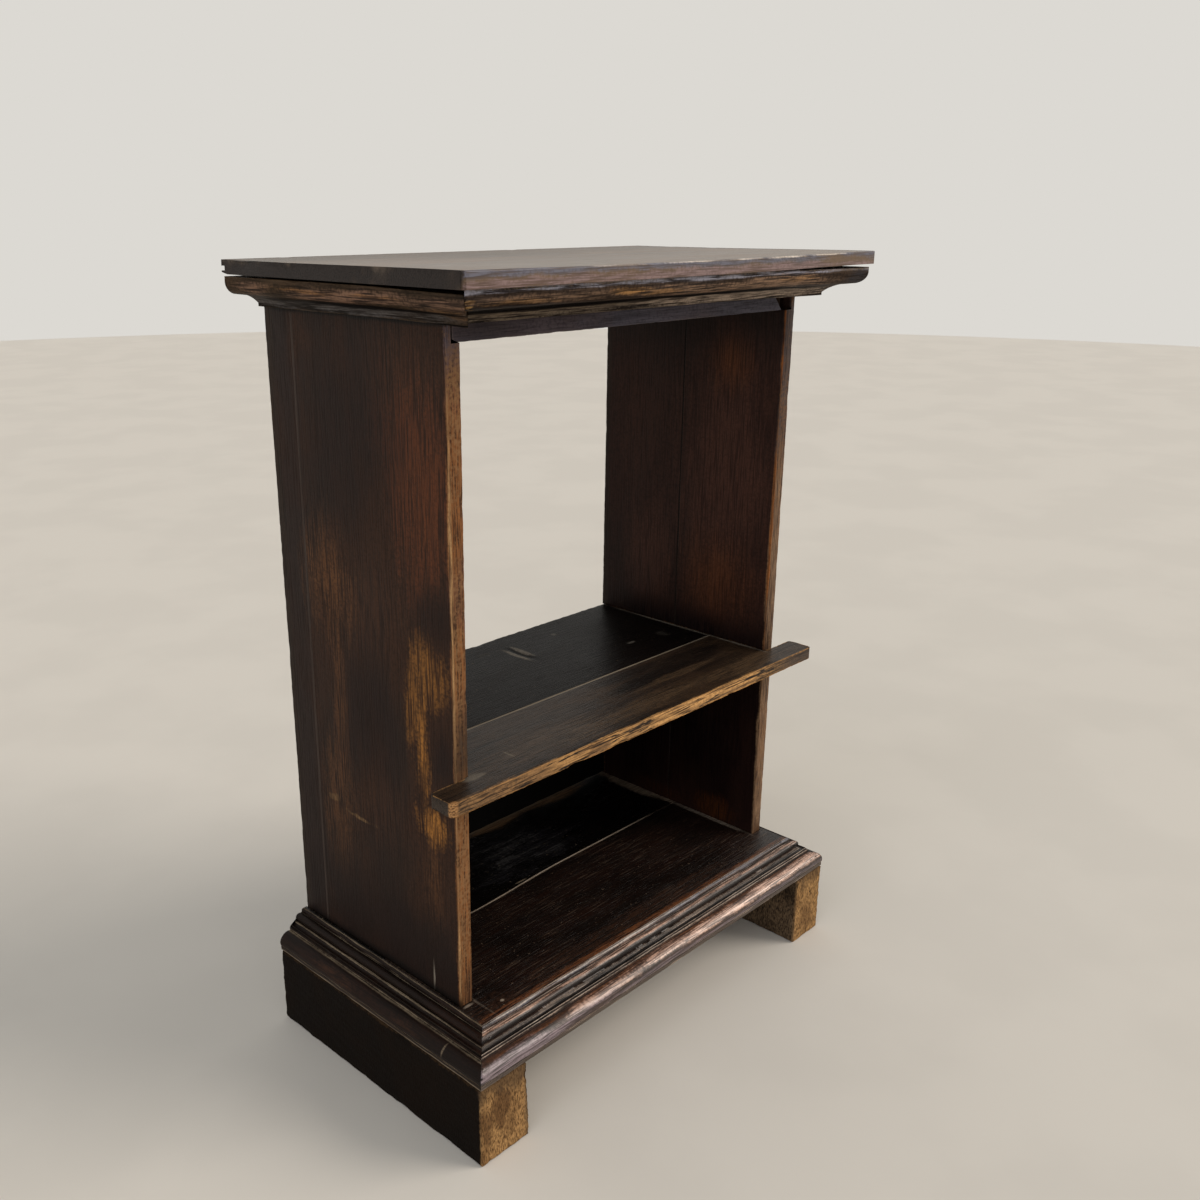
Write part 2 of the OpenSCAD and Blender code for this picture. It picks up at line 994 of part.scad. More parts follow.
top_board();
cornice_front();
cornice_left();
cornice_right();
cornice_packing();
front_rail();
rear_rail();
left_side_front_board();
left_side_rear_board();
right_side_front_board();
right_side_rear_board();
shelf_front_board();
shelf_rear_board();
deck_front_board();
deck_rear_board();
lower_back_panel();
base_moulding_front();
base_moulding_left();
base_moulding_right();
left_foot();
right_foot();
left_bearer();
right_bearer();
front_bearer();
rear_bearer();
top_glue_blocks();
cornice_nails();
packing_nails();
base_moulding_nails();
side_nails();
foot_nails();
bearer_nails();
panel_nails();
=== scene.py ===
import math
import bmesh
import bpy
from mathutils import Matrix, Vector, noise


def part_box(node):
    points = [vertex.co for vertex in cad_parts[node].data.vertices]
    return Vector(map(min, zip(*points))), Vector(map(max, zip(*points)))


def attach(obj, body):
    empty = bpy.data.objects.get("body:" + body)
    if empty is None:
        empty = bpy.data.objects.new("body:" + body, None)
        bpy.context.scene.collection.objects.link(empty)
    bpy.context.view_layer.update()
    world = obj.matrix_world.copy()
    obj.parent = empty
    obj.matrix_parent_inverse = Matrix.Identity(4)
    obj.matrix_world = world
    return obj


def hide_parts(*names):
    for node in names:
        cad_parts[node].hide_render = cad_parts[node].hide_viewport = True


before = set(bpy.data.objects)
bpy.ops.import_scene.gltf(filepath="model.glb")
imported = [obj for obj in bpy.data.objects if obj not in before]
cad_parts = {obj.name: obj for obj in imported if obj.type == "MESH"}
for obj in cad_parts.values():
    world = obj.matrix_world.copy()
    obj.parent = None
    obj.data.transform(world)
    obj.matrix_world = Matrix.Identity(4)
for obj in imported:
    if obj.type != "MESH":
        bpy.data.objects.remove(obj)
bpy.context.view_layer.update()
print("frame loaded")

# camera, from the photograph's own vanishing lines: metres and degrees
viewpoint = {
    "place": (-1.0114, -0.9453, 0.9625),
    "yaw": 45.19,  # from +Y towards +X
    "pitch": -18.715,
    "lens": 36.36,  # on a 36 mm sensor
    "shift": (0.0550, 0.0148),
    "clip": (0.05, 50),
}


def makeCamera():
    data = bpy.data.cameras.new("photographView")
    data.sensor_width = 36
    data.lens = viewpoint["lens"]
    data.shift_x, data.shift_y = viewpoint["shift"]
    data.clip_start, data.clip_end = viewpoint["clip"]
    camera = bpy.data.objects.new("photographView", data)
    camera.location = viewpoint["place"]
    tilt = math.radians(90 + viewpoint["pitch"])
    camera.rotation_euler = (tilt, 0, -math.radians(viewpoint["yaw"]))
    bpy.context.scene.collection.objects.link(camera)
    bpy.context.scene.camera = camera


makeCamera()
print("camera set")


# how the frame's meshes are readied for wear: metres and degrees
readying = {
    "weld": 0.00001,
    "flat": 0.5,  # faces that meet at less are joined
    "arris": 35,  # edges that turn by more are arrises or inner corners
    "shortest": 0.012,  # shorter ones neither wear nor hold dust
    "inPlane": 0.0006,  # how near to a joint's plane its edges lie
    "smooth": 48,  # edges that turn by more stay crisp
}


def weldedCopy(node):
    made = bmesh.new()
    made.from_mesh(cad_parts[node].data)
    bmesh.ops.remove_doubles(made, verts=made.verts, dist=readying["weld"])
    flat = math.radians(readying["flat"])
    bmesh.ops.dissolve_limit(made, angle_limit=flat, verts=made.verts, edges=made.edges)
    return made


def longEdges(made, convex):
    # the arrises, or the inner corners, that are long enough to wear or to hold dust
    sharp = math.radians(readying["arris"])
    return [
        e for e in made.edges
        if e.is_manifold and e.is_convex == convex
        and e.calc_face_angle() > sharp and e.calc_length() > readying["shortest"]
    ]


def sliceAlong(made, faces, axis, places):
    # cuts the faces by the middle plane first, then each half by its own planes
    if not faces or not places:
        return
    middle = len(places) // 2
    point, way = Vector((0, 0, 0)), Vector((0, 0, 0))
    point[axis], way[axis] = places[middle], 1
    loose = {v for f in faces for v in f.verts} | {e for f in faces for e in f.edges}
    cut = bmesh.ops.bisect_plane(
        made, geom=list(loose) + faces, dist=1e-6, plane_co=point, plane_no=way)
    after = [f for f in cut["geom"] if isinstance(f, bmesh.types.BMFace)]
    below = [f for f in after if f.calc_center_bounds()[axis] < places[middle]]
    above = [f for f in after if f.calc_center_bounds()[axis] >= places[middle]]
    sliceAlong(made, below, axis, places[:middle])
    sliceAlong(made, above, axis, places[middle + 1:])


def slicePlaces(low, high, step, rim):
    # even cells, and one narrow cell along each rim
    count = max(1, round((high - low) / step))
    even = [low + (high - low) * k / count for k in range(1, count)]
    inner = [p for p in even if low + 1.5 * rim < p < high - 1.5 * rim]
    return [low + rim] + inner + [high - rim] if high - low > 3 * rim else []


def nearest(point, segments):
    best = 1.0
    for start, way, length2 in segments:
        t = min(1, max(0, (point - start).dot(way) / length2))
        best = min(best, (point - start - way * t).length_squared)
    return math.sqrt(best)


def liesAt(edge, axis, place):
    return all(abs(v.co[axis] - place) < readying["inPlane"] for v in edge.verts)


def segmentsOf(edges):
    ends = [(e.verts[0].co.copy(), e.verts[1].co - e.verts[0].co) for e in edges]
    return [(start, way.copy(), way.length_squared) for start, way in ends]


# how fine each kind of wear is, per metre, and how much of the noise shows as nibbles and chips
wearPattern = {
    "waver": 8, "nibble": 150, "nibbled": 0.45, "chip": 42, "chipped": -0.28,
    "fur": 260, "drawnOut": 0.25,  # the fur, along the grain
}


def wearDepth(place, arris, settings):
    # how far a point of the surface has worn in: slow waver, then nibbles and chips along the arrises
    seed = Vector((settings["seed"], 0.37 * settings["seed"], 0.71 * settings["seed"]))
    run = place.copy()
    run[settings["grain"]] *= wearPattern["drawnOut"]
    slow = 0.5 + 0.5 * noise.noise(place * wearPattern["waver"] + seed)
    nibble = max(0, noise.noise(place * wearPattern["nibble"] + seed) + wearPattern["nibbled"])
    chip = max(0, noise.noise(place * wearPattern["chip"] + seed * 2) + wearPattern["chipped"])
    fur = 0.5 + 0.5 * noise.noise(run * wearPattern["fur"] + seed)
    worn = settings["wear"] * nibble + settings["chips"] * chip
    return settings["waver"] * slow + arris * worn + settings["fur"] * fur


def wornPiece(node, settings, shape=None):
    # a piece of the frame with rounded, worn arrises, cut fine enough to waver
    made = weldedCopy(node)
    sharp = longEdges(made, True)
    joined = [e for e in sharp if any(liesAt(e, *plane) for plane in settings["joints"])]
    lines = {
        "arris": segmentsOf([e for e in sharp if e not in joined]),
        "nook": segmentsOf(longEdges(made, False)),
        "seam": segmentsOf(joined),
    }
    bmesh.ops.bevel(
        made, geom=sharp, offset=settings["round"], offset_type="OFFSET", affect="EDGES",
        segments=3, profile=0.5, material=-1, clamp_overlap=True)
    low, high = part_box(node)
    for axis, step in enumerate(settings["cells"]):
        if step:
            places = slicePlaces(low[axis], high[axis], step, settings["rim"])
            sliceAlong(made, list(made.faces), axis, places)
    made.normal_update()
    layers = {name: made.verts.layers.float.new(name) for name in lines}
    for v in made.verts:
        for name, layer in layers.items():
            v[layer] = max(0, 1 - nearest(v.co, lines[name]) / settings["reach"])
        v.co -= v.normal * wearDepth(v.co, v[layers["arris"]], settings)
        if shape:
            v.co = shape(v.co)
    mesh = bpy.data.meshes.new(node + "_worn")
    made.to_mesh(mesh)
    made.free()
    mesh.shade_smooth()
    mesh.set_sharp_from_angle(angle=math.radians(readying["smooth"]))
    piece = bpy.data.objects.new(node + "_worn", mesh)
    bpy.context.scene.collection.objects.link(piece)
    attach(piece, "root")
    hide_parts(node)
    return piece


class Signal:
    # a socket of a finish, on which sums can be written: numbers and vectors each by their own nodes
    def __init__(self, finish, socket):
        self.finish = finish
        self.socket = socket

    def sum(self, operation, first, second):
        parts = [p.socket.type if isinstance(p, Signal) else type(p).__name__ for p in (first, second)]
        if "VECTOR" not in parts and "RGBA" not in parts:
            return self.finish.maths(operation, first, second)
        if "float" in parts or "VALUE" in parts:
            return self.finish.scaled(first, second)
        return self.finish.vector(operation, first, second)

    def __add__(self, other):
        return self.sum("ADD", self, other)

    def __sub__(self, other):
        return self.sum("SUBTRACT", self, other)

    def __rsub__(self, other):
        return self.sum("SUBTRACT", other, self)

    def __mul__(self, other):
        return self.sum("MULTIPLY", self, other)

    def __truediv__(self, other):
        return self.sum("DIVIDE", self, other)

    __radd__ = __add__
    __rmul__ = __mul__


class Finish:
    # a node tree that is written as sums on signals
    def __init__(self, tree):
        self.tree = tree
        tree.nodes.clear()

    def node(self, kind, settings, sockets, output=0):
        made = self.tree.nodes.new(kind)
        for name, value in settings.items():
            setattr(made, name, value)
        for name, value in sockets.items():
            if isinstance(value, Signal):
                self.tree.links.new(value.socket, made.inputs[name])
            else:
                made.inputs[name].default_value = value
        return Signal(self, made.outputs[output]) if made.outputs else made

    def maths(self, operation, first, second=0.0):
        return self.node("ShaderNodeMath", {"operation": operation}, {0: first, 1: second})

    def vector(self, operation, first, second):
        return self.node("ShaderNodeVectorMath", {"operation": operation}, {0: first, 1: second})

    def scaled(self, vector, share):
        return self.node("ShaderNodeVectorMath", {"operation": "SCALE"}, {0: vector, "Scale": share})

    def length(self, vector):
        return self.node("ShaderNodeVectorMath", {"operation": "LENGTH"}, {0: vector}, "Value")

    def fade(self, value, low, high):
        # 0 up to low and 1 from high on, or the other way round where low is the larger
        sockets = {"Value": value, "From Min": low, "From Max": high}
        settings = {"interpolation_type": "SMOOTHSTEP", "clamp": True}
        return self.node("ShaderNodeMapRange", settings, sockets)

    def blend(self, amount, under, over):
        return self.node("ShaderNodeMix", {"data_type": "RGBA"}, {0: amount, 6: under, 7: over}, 2)

    def noise(self, place, scale, detail=3.0, distortion=0.0, output=0):
        sockets = {"Vector": place, "Scale": scale, "Detail": detail, "Distortion": distortion}
        return self.node("ShaderNodeTexNoise", {}, sockets, output)

    def attribute(self, name):
        return self.node("ShaderNodeAttribute", {"attribute_name": name}, {}, 2)


def tone(code):
    # a colour as it is written for a screen, turned to linear light
    parts = [int(code[k:k + 2], 16) / 255 for k in (1, 3, 5)]
    return (*[p / 12.92 if p <= 0.04045 else ((p + 0.055) / 1.055) ** 2.4 for p in parts], 1.0)


def metres(sizes):
    return tuple(s / 1000 for s in sizes)


# old oak under a worn dark finish: what each piece changes is in its own look
plainOak = {
    "grain": 2,  # the axis that the fibres follow
    "tones": ("#191210", "#281e1a", "#3a2419"),  # streaks, ground, warm clouds
    "warmth": 0.5,
    "streaks": 0.5,
    "fibres": 0.4,
    "worn": "#7b5939",  # bare wood along the arrises
    "bare": 0.6,
    "dustAndShade": "#706351",  # the tone of the inner corners: pale dust, but near black as painted shade in the base moulding
    "dustAndShadeShare": 0.0,
    "seam": None,  # what fills the joint between two boards
    "specks": 0.0,
    "roughness": 0.42,
    "shine": 0.3,
    "coat": 0.0,
    "relief": 0.5,
    "mottle": 0.4,
    "along": (0.1, 0.045, 0.45),  # how far streaks, fibres and clouds are drawn out along the grain
    "paleLines": 0.0,  # pores of the grain that hold pale dust
    "edge": (0.55, 1.1),  # how near to an arris the wood is bare
    "layers": (),
}
# a layer of stain, painted highlight or painted shade has two tones, and soft spots with a centre and
# a size in millimetres and a strength
plainStainAndLight = {
    "stray": 6,  # how far its spots wander, in millimetres
    "ragged": 0.6,  # how torn their rims are
    "soft": 0,  # how much wider these are
    "grainy": 0.4,  # how much the fibres show through
    "pits": 0,  # dark pores in it
    "roughness": 0,  # more, or less
    "coat": 0,  # more, or less
    "over": False,  # over the worn arrises, or under them
}


def stainAndLight(first, second, *spots, **more):
    # the first tone lies in the ground, the second in the fibres and faintly in the crumbs
    return {**plainStainAndLight, "tones": (first, second), "spots": spots, **more}


# the patterns of the wood: how fine they are per metre, how detailed and how distorted
oakPattern = {
    "streak": (105, 7, 0.5), "fibre": (620, 4, 0.4), "blotch": (16, 8, 0.4), "crumb": (280, 4),
    "drift": (22, 2), "pits": (300, 5, 0.6), "paleLines": (540, 3, 0.3), "specks": (330, 1),
}
# from which value of its noise on a pattern starts to show, and from which it shows in full
oakFade = {
    "fibre": (0.42, 0.66), "grains": (0.46, 0.62), "pits": (0.54, 0.64), "streaks": (0.4, 0.66),
    "warmth": (0.4, 0.64), "dustAndShade": (0.5, 1.0), "paleLines": (0.56, 0.7), "patchy": (0.4, 0.6),
    "specks": (0.735, 0.775), "seam": (0.5, 0.8),
}
# how much streaks, clouds and crumbs fray what is painted on the wood
oakFray = {
    "spots": {"streak": 1.6, "blotch": 2.6, "crumb": 0.9},
    "arris": {"crumb": 1.5, "blotch": 1.2},
    "nook": {"crumb": 0.9, "blotch": 1.4},
    "seam": {"streak": 0.5},
    "gloss": {"blotch": 0.2},
}


def fray(wood, kind):
    return sum((wood[name] - 0.5) * share for name, share in oakFray[kind].items())


def woodPatterns(oak, look):
    # streaks, fibres and clouds are drawn out along the grain, crumbs and the drift of spots aren't
    place = oak.node("ShaderNodeTexCoord", {}, {}, "Object")
    long, fine, soft = [
        place * tuple(share if k == look["grain"] else 1 for k in range(3))
        for share in look["along"]]
    wood = {
        "place": place, "fine": fine,
        "streak": oak.noise(long, *oakPattern["streak"]),
        "blotch": oak.noise(soft, *oakPattern["blotch"]),
        "crumb": oak.noise(place, *oakPattern["crumb"]),
        "drift": oak.noise(place, *oakPattern["drift"], output=1) - (0.5, 0.5, 0.5),
        "fibre": oak.fade(oak.noise(fine, *oakPattern["fibre"]), *oakFade["fibre"]),
        "pits": oak.fade(oak.noise(long, *oakPattern["pits"]), *oakFade["pits"]),
    }
    wood["grains"] = oak.fade(wood["crumb"], *oakFade["grains"])
    wood["torn"] = fray(wood, "spots")
    return wood


def spotMask(oak, wood, layer):
    strayed = wood["place"] + wood["drift"] * (layer["stray"] / 1000)
    ragged = wood["torn"] * layer["ragged"]
    mask = 0.0
    for centre, size, strength in layer["spots"]:
        reach = oak.length((strayed - metres(centre)) / metres(size)) + ragged
        outer, inner = 1.3 + layer["soft"], 0.5 - layer["soft"]  # in the spot's own sizes
        mask = oak.maths("MAXIMUM", mask, oak.fade(reach, outer, inner) * strength)
    return mask * (1 - wood["fibre"] * layer["grainy"])


def paintLayers(oak, wood, layers, surface):
    for layer in layers:
        mask = spotMask(oak, wood, layer)
        first, second = [tone(code) for code in layer["tones"]]
        mixed = oak.blend(oak.maths("MAXIMUM", wood["fibre"], wood["grains"] * 0.45), first, second)
        if layer["pits"]:
            mixed = oak.blend(wood["pits"] * layer["pits"], mixed, tone("#1a1310"))
        surface["colour"] = oak.blend(mask, surface["colour"], mixed)
        for quality in ("roughness", "coat"):
            if layer[quality]:
                surface[quality] += mask * layer[quality]


def paintWear(oak, wood, look, surface):
    # dark fibres, bare wood along the arrises, and what fills the joint between two boards
    edge = oak.attribute("arris") + fray(wood, "arris")
    bare = oak.fade(edge, *look["edge"]) * look["bare"]
    surface["colour"] = oak.blend(wood["fibre"] * look["fibres"], surface["colour"], tone("#090605"))
    surface["colour"] = oak.blend(bare, surface["colour"], tone(look["worn"]))
    surface["roughness"] += bare * 0.2
    if look["seam"]:
        seam = oak.fade(oak.attribute("seam") + fray(wood, "seam"), *oakFade["seam"])
        surface["colour"] = oak.blend(seam, surface["colour"], tone(look["seam"]))


def paintDustAndShade(oak, wood, look, surface):
    # in the inner corners, and where a look asks for it in the pores and as specks: pale dust, and
    # where a look's corner tone is dark, painted shade in the corners
    corner = oak.attribute("nook") + fray(wood, "nook")
    dustAndShade = oak.fade(corner, *oakFade["dustAndShade"]) * look["dustAndShadeShare"]
    if look["paleLines"]:
        lines = oak.fade(oak.noise(wood["fine"], *oakPattern["paleLines"]), *oakFade["paleLines"])
        patchy = oak.fade(wood["blotch"], *oakFade["patchy"])
        dustAndShade = oak.maths("MAXIMUM", dustAndShade, lines * look["paleLines"] * patchy)
    if look["specks"]:
        speck = oak.fade(oak.noise(wood["place"], *oakPattern["specks"]), *oakFade["specks"])
        dustAndShade = oak.maths("MAXIMUM", dustAndShade, speck * look["specks"])
    surface["colour"] = oak.blend(dustAndShade, surface["colour"], tone(look["dustAndShade"]))
    surface["roughness"] += dustAndShade * 0.4


def oakFinish(name, look):
    look = {**plainOak, **look}
    material = bpy.data.materials.new(name)
    material.use_nodes = True
    oak = Finish(material.node_tree)
    wood = woodPatterns(oak, look)
    streak, fibre, blotch, crumb = [wood[k] for k in ("streak", "fibre", "blotch", "crumb")]
    deep, ground, warm = [tone(code) for code in look["tones"]]
    colour = oak.blend(oak.fade(streak, *oakFade["streaks"]) * look["streaks"], ground, deep)
    colour = oak.blend(oak.fade(blotch, *oakFade["warmth"]) * look["warmth"], colour, warm)
    surface = {
        "colour": oak.blend(wood["grains"] * look["mottle"], colour, deep),
        "roughness": look["roughness"] + fray(wood, "gloss") + fibre * 0.06,
        "coat": look["coat"],
    }
    paintLayers(oak, wood, [p for p in look["layers"] if not p["over"]], surface)
    paintWear(oak, wood, look, surface)
    paintLayers(oak, wood, [p for p in look["layers"] if p["over"]], surface)
    paintDustAndShade(oak, wood, look, surface)
    # crumbs and clouds stand up, fibres and streaks are sunk
    height = crumb * 0.25 + blotch * 0.4 - fibre * 0.5 - streak * 0.3
    relief = oak.node("ShaderNodeBump", {}, {
        "Strength": look["relief"], "Distance": 0.0006, "Height": height})
    shader = oak.node("ShaderNodeBsdfPrincipled", {}, {
        "Base Color": surface["colour"], "Roughness": surface["roughness"], "Normal": relief,
        "Specular IOR Level": look["shine"], "Coat Weight": surface["coat"], "Coat Roughness": 0.25})
    oak.node("ShaderNodeOutputMaterial", {}, {"Surface": shader})
    return material


def dress(piece, finish):
    piece.data.materials.clear()
    piece.data.materials.append(finish)


def easing(start, end, value):
    # 0 at start, 1 at end, level at both
    t = min(1, max(0, (value - start) / (end - start)))
    return t * t * (3 - 2 * t)


def bend(settings, place):
    # how far a point is moved: each axis has the run over which the bend comes in
    share = settings["by"]
    for axis, letter in enumerate("xyz"):
        if letter in settings:
            share *= easing(*settings[letter], place[axis])
    return share


def clipCorner(x, y, beyond, share):
    # a front corner cut on the slant: what lies beyond the cut moves back towards it
    back = max(0, beyond) * share
    return x - math.copysign(back, x), y + back


# worn boards, in metres
board = {
    "round": 0.001,  # radius of the arrises
    "cells": (0.004, 0.004, 0.004),  # how finely a board is cut along x, y and z, or None
    "rim": 0.0022,  # the narrow cell at each end
    "reach": 0.0035,  # how far wear and dust reach from an arris or an inner corner
    "waver": 0.0004, "wear": 0.0004, "chips": 0.003, "fur": 0.0,  # how deep each of these goes
    "grain": 2,  # the axis that the fibres follow
    "joints": (),  # where two boards meet: an axis, and the place of the plane on it
    "seed": 1,
}

# the top board is a little thinner than its frame solid, curls up at its right front corner and
# lifts at its left one, and both of them are clipped
topBoard = {
    **board, "cells": (0.003, 0.010, None), "round": 0.0012, "grain": 0, "seed": 3,
    "chips": 0.004, "joints": ((2, 0.898),), "thin": 0.906, "corner": 0.004,
    "curl": {"by": 0.0015, "x": (0.04, 0.3265), "y": (0.08, -0.1835)},
    "lift": {"by": 0.0014, "x": (-0.12, -0.3265), "y": (0.10, -0.1835), "z": (0.898, 0.914)},
    "look": {
        "grain": 0, "tones": ("#4a3c2e", "#66533f", "#735434"), "warmth": 0.4,
        "worn": "#bda890", "bare": 0.65, "roughness": 0.45, "shine": 0.15, "coat": 0.5,
        "fibres": 0.15, "mottle": 0.25,
        "layers": (
            stainAndLight("#403426", "#30261b", ((-60, 190, 914), (420, 170, 9), 0.75), ragged=0.8,
                  soft=0.5, coat=-0.3),
            stainAndLight("#686874", "#403d48", ((0, -183.5, 912.5), (900, 4, 7), 0.95), ragged=0.9,
                  coat=-0.35, stray=10),
            stainAndLight("#86706e", "#5f4a46", ((0, -183.5, 901), (900, 4, 5.5), 0.95), ragged=0.9,
                  coat=-0.25, grainy=0.3, stray=10),
            stainAndLight("#d8ccbe", "#9d8c7c", ((-130, -183.5, 912.6), (44, 3, 1.8), 0.9),
                  ((-20, -183.5, 912.6), (50, 3, 1.7), 0.9),
                  ((70, -183.5, 912.6), (30, 3, 1.8), 0.9),
                  ((142, -183.5, 912.6), (36, 3, 1.9), 1.0),
                  ((225, -183.5, 913), (34, 3, 1.6), 0.9), ragged=0.7, grainy=0.2, stray=3,
                  over=True),
            stainAndLight("#4a3c30", "#33291f", ((0, 183.5, 906), (900, 5, 12), 0.95), ragged=0.4,
                  over=True, coat=-0.4),
            stainAndLight("#2d2623", "#211d1b", ((-327, 0, 906), (3, 400, 40), 1.0),
                  ((327, 0, 906), (3, 400, 40), 0.9), ragged=0.1, grainy=0, coat=-0.5, over=True),
        ),
    },
}


topLow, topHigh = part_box("top_board")


def topShape(place):
    x, y, z = place
    raised = bend(topBoard["curl"], place) + bend(topBoard["lift"], place)
    x, y = clipCorner(x, y, (abs(x) - topHigh.x) + (topLow.y - y) + topBoard["corner"], share=0.4)
    return Vector((x, y, topLow.z + (z - topLow.z) * topBoard["thin"] + raised))


top = wornPiece("top_board", topBoard, topShape)
dress(top, oakFinish("topOak", topBoard["look"]))
print("top board made")

# cornice: olive brown ovolo under a lip with a painted bluish sheen, a painted shade line between
# ovolo and cove, a brown cove
cornice = {
    **board, "round": 0.0005, "rim": 0.002, "reach": 0.002, "waver": 0.0003, "chips": 0.002,
    "frontSag": {"by": -0.0025, "x": (0.08, 0.321)},
    "leftSag": {"by": -0.002, "y": (-0.02, -0.1785)},
    "leftSkew": {"by": -0.0035, "y": (-0.15, 0.1825)},  # further out towards the back
    "frontLook": {
        "grain": 0, "tones": ("#1d1715", "#423935", "#523f2f"), "worn": "#887766", "bare": 0.5,
        "roughness": 0.5, "shine": 0.03, "streaks": 0.9, "mottle": 0.5, "fibres": 0.5,
        "layers": (
            # painted sheen: a pale bluish reflection along the lip
            stainAndLight("#a09fab", "#5e5c66", ((0, -178, 895.5), (900, 6, 2.6), 0.9), ragged=0.4,
                  grainy=0.7),
            stainAndLight("#8c705a", "#4f4138", ((-180, -176, 886), (150, 8, 5), 0.55),
                  ((120, -174, 885), (200, 10, 7), 0.9), ragged=0.9, stray=14, grainy=0.5),
            stainAndLight("#a47a4c", "#5f482e", ((-112, -177, 887), (34, 6, 4.5), 0.9),
                  ((-60, -176, 884), (30, 6, 2.5), 0.5), ((180, -176, 888), (40, 6, 2.5), 0.4),
                  ((-250, -174, 884), (50, 6, 3), 0.4), ragged=0.8, stray=10, grainy=0.5),
            stainAndLight("#ad9a88", "#5d5047", ((110, -146, 871), (210, 12, 7), 0.9), ragged=0.8,
                  grainy=0.5),
            stainAndLight("#756757", "#382e28", ((-200, -146, 871), (140, 12, 7), 0.9), ragged=0.8),
            # painted shade: a dark line in the step between ovolo and cove
            stainAndLight("#0a0706", "#060404", ((-190, -149, 876.2), (180, 7, 3.6), 1.0),
                  ((90, -150, 876.6), (260, 7, 2), 1.0), ragged=0.3, grainy=0.0, stray=3,
                  over=True),
            # painted shade: a dark line along the cornice's bottom edge
            stainAndLight("#0b0808", "#070505", ((0, -137.6, 865.6), (900, 3, 1.3), 0.95), ragged=0.2,
                  grainy=0.0, over=True),
            stainAndLight("#2e2f35", "#1f2023", ((300, -176, 885), (34, 20, 12), 0.8), ragged=0.5),
            stainAndLight("#b08a58", "#57402d", ((-314, -177, 887.5), (7, 6, 1.6), 0.9),
                  ((-312, -174, 883), (5, 6, 1.4), 0.8), ((-298, -160, 873), (4, 6, 2.2), 0.8),
                  ((-304, -166, 877), (3, 6, 3), 0.7), ragged=0.5, stray=3, over=True),
        ),
    },
    "sideLook": {
        "grain": 1, "tones": ("#1a1612", "#3a2f26", "#4e3c2a"), "worn": "#6c5946", "bare": 0.3,
        "roughness": 0.5, "shine": 0.03, "streaks": 0.9, "fibres": 0.5,
        "layers": (
            stainAndLight("#7f624f", "#4a3a34", ((-316, 0, 885), (12, 150, 8), 0.95),
                  ((-316, 130, 887), (12, 60, 8), 0.85), ((-318, -150, 884), (12, 40, 6), 0.7),
                  ragged=0.7, stray=12),
            stainAndLight("#85603c", "#523a2a", ((-318, 60, 887), (12, 60, 2.4), 0.7),
                  ((-318, -60, 886), (12, 40, 2), 0.6), ragged=0.8, stray=10),
            stainAndLight("#625e5d", "#3f3c3b", ((-293, 20, 869), (16, 170, 6), 0.9), ragged=0.5),
            # painted shade: a dark band between ovolo and cove, and a dark line along the bottom edge
            stainAndLight("#0c0908", "#080606", ((-292, -20, 874.3), (7, 160, 3), 0.95),
                  ((-296, 30, 876), (7, 60, 2), 0.8), ((-281, 0, 863.6), (4, 400, 1.1), 0.95),
                  ragged=0.4, stray=5, grainy=0, over=True),
            stainAndLight("#6b5138", "#372b25", ((-300, -150, 874), (26, 34, 8), 0.8), ragged=0.9,
                  grainy=0.6),
        ),
    },
}


def corniceFrontShape(place):
    return place + Vector((0, 0, bend(cornice["frontSag"], place)))


def corniceLeftShape(place):
    return place + Vector((bend(cornice["leftSkew"], place), 0, bend(cornice["leftSag"], place)))


frontCornice = wornPiece(
    "cornice_front", {**cornice, "cells": (0.003, None, None), "grain": 0, "seed": 5},
    corniceFrontShape)
leftCornice = wornPiece(
    "cornice_left", {**cornice, "cells": (None, 0.003, None), "grain": 1, "seed": 7},
    corniceLeftShape)
rightCornice = wornPiece(
    "cornice_right", {**cornice, "cells": (None, 0.003, None), "grain": 1, "seed": 9})
dress(frontCornice, oakFinish("corniceOak", cornice["frontLook"]))
sideCorniceOak = oakFinish("corniceSideOak", cornice["sideLook"])
dress(leftCornice, sideCorniceOak)
dress(rightCornice, sideCorniceOak)
print("cornice made")

# rails under the top
rail = {
    **board, "cells": (0.004, None, 0.008), "grain": 0, "seed": 11, "round": 0.0008,
    "look": {
        "grain": 0, "tones": ("#2c2730", "#4b4751", "#4d3d3b"), "worn": "#726761", "bare": 0.4,
        "roughness": 0.45, "shine": 0.1,
        "layers": (
            stainAndLight("#261f1e", "#191413", ((-230, -106, 872), (60, 6, 40), 0.5)),
            # painted shade: dark along the rail's lowest few millimetres, by the cornice's bottom edge
            stainAndLight("#0c0a0a", "#080606", ((0, -106, 867), (500, 6, 5.4), 0.95), ragged=0.3,
                  grainy=0, over=True, stray=3),
        ),
    },
}
railOak = oakFinish("railOak", rail["look"])
for node in ("front_rail", "rear_rail"):
    dress(wornPiece(node, rail), railOak)
print("rails made")

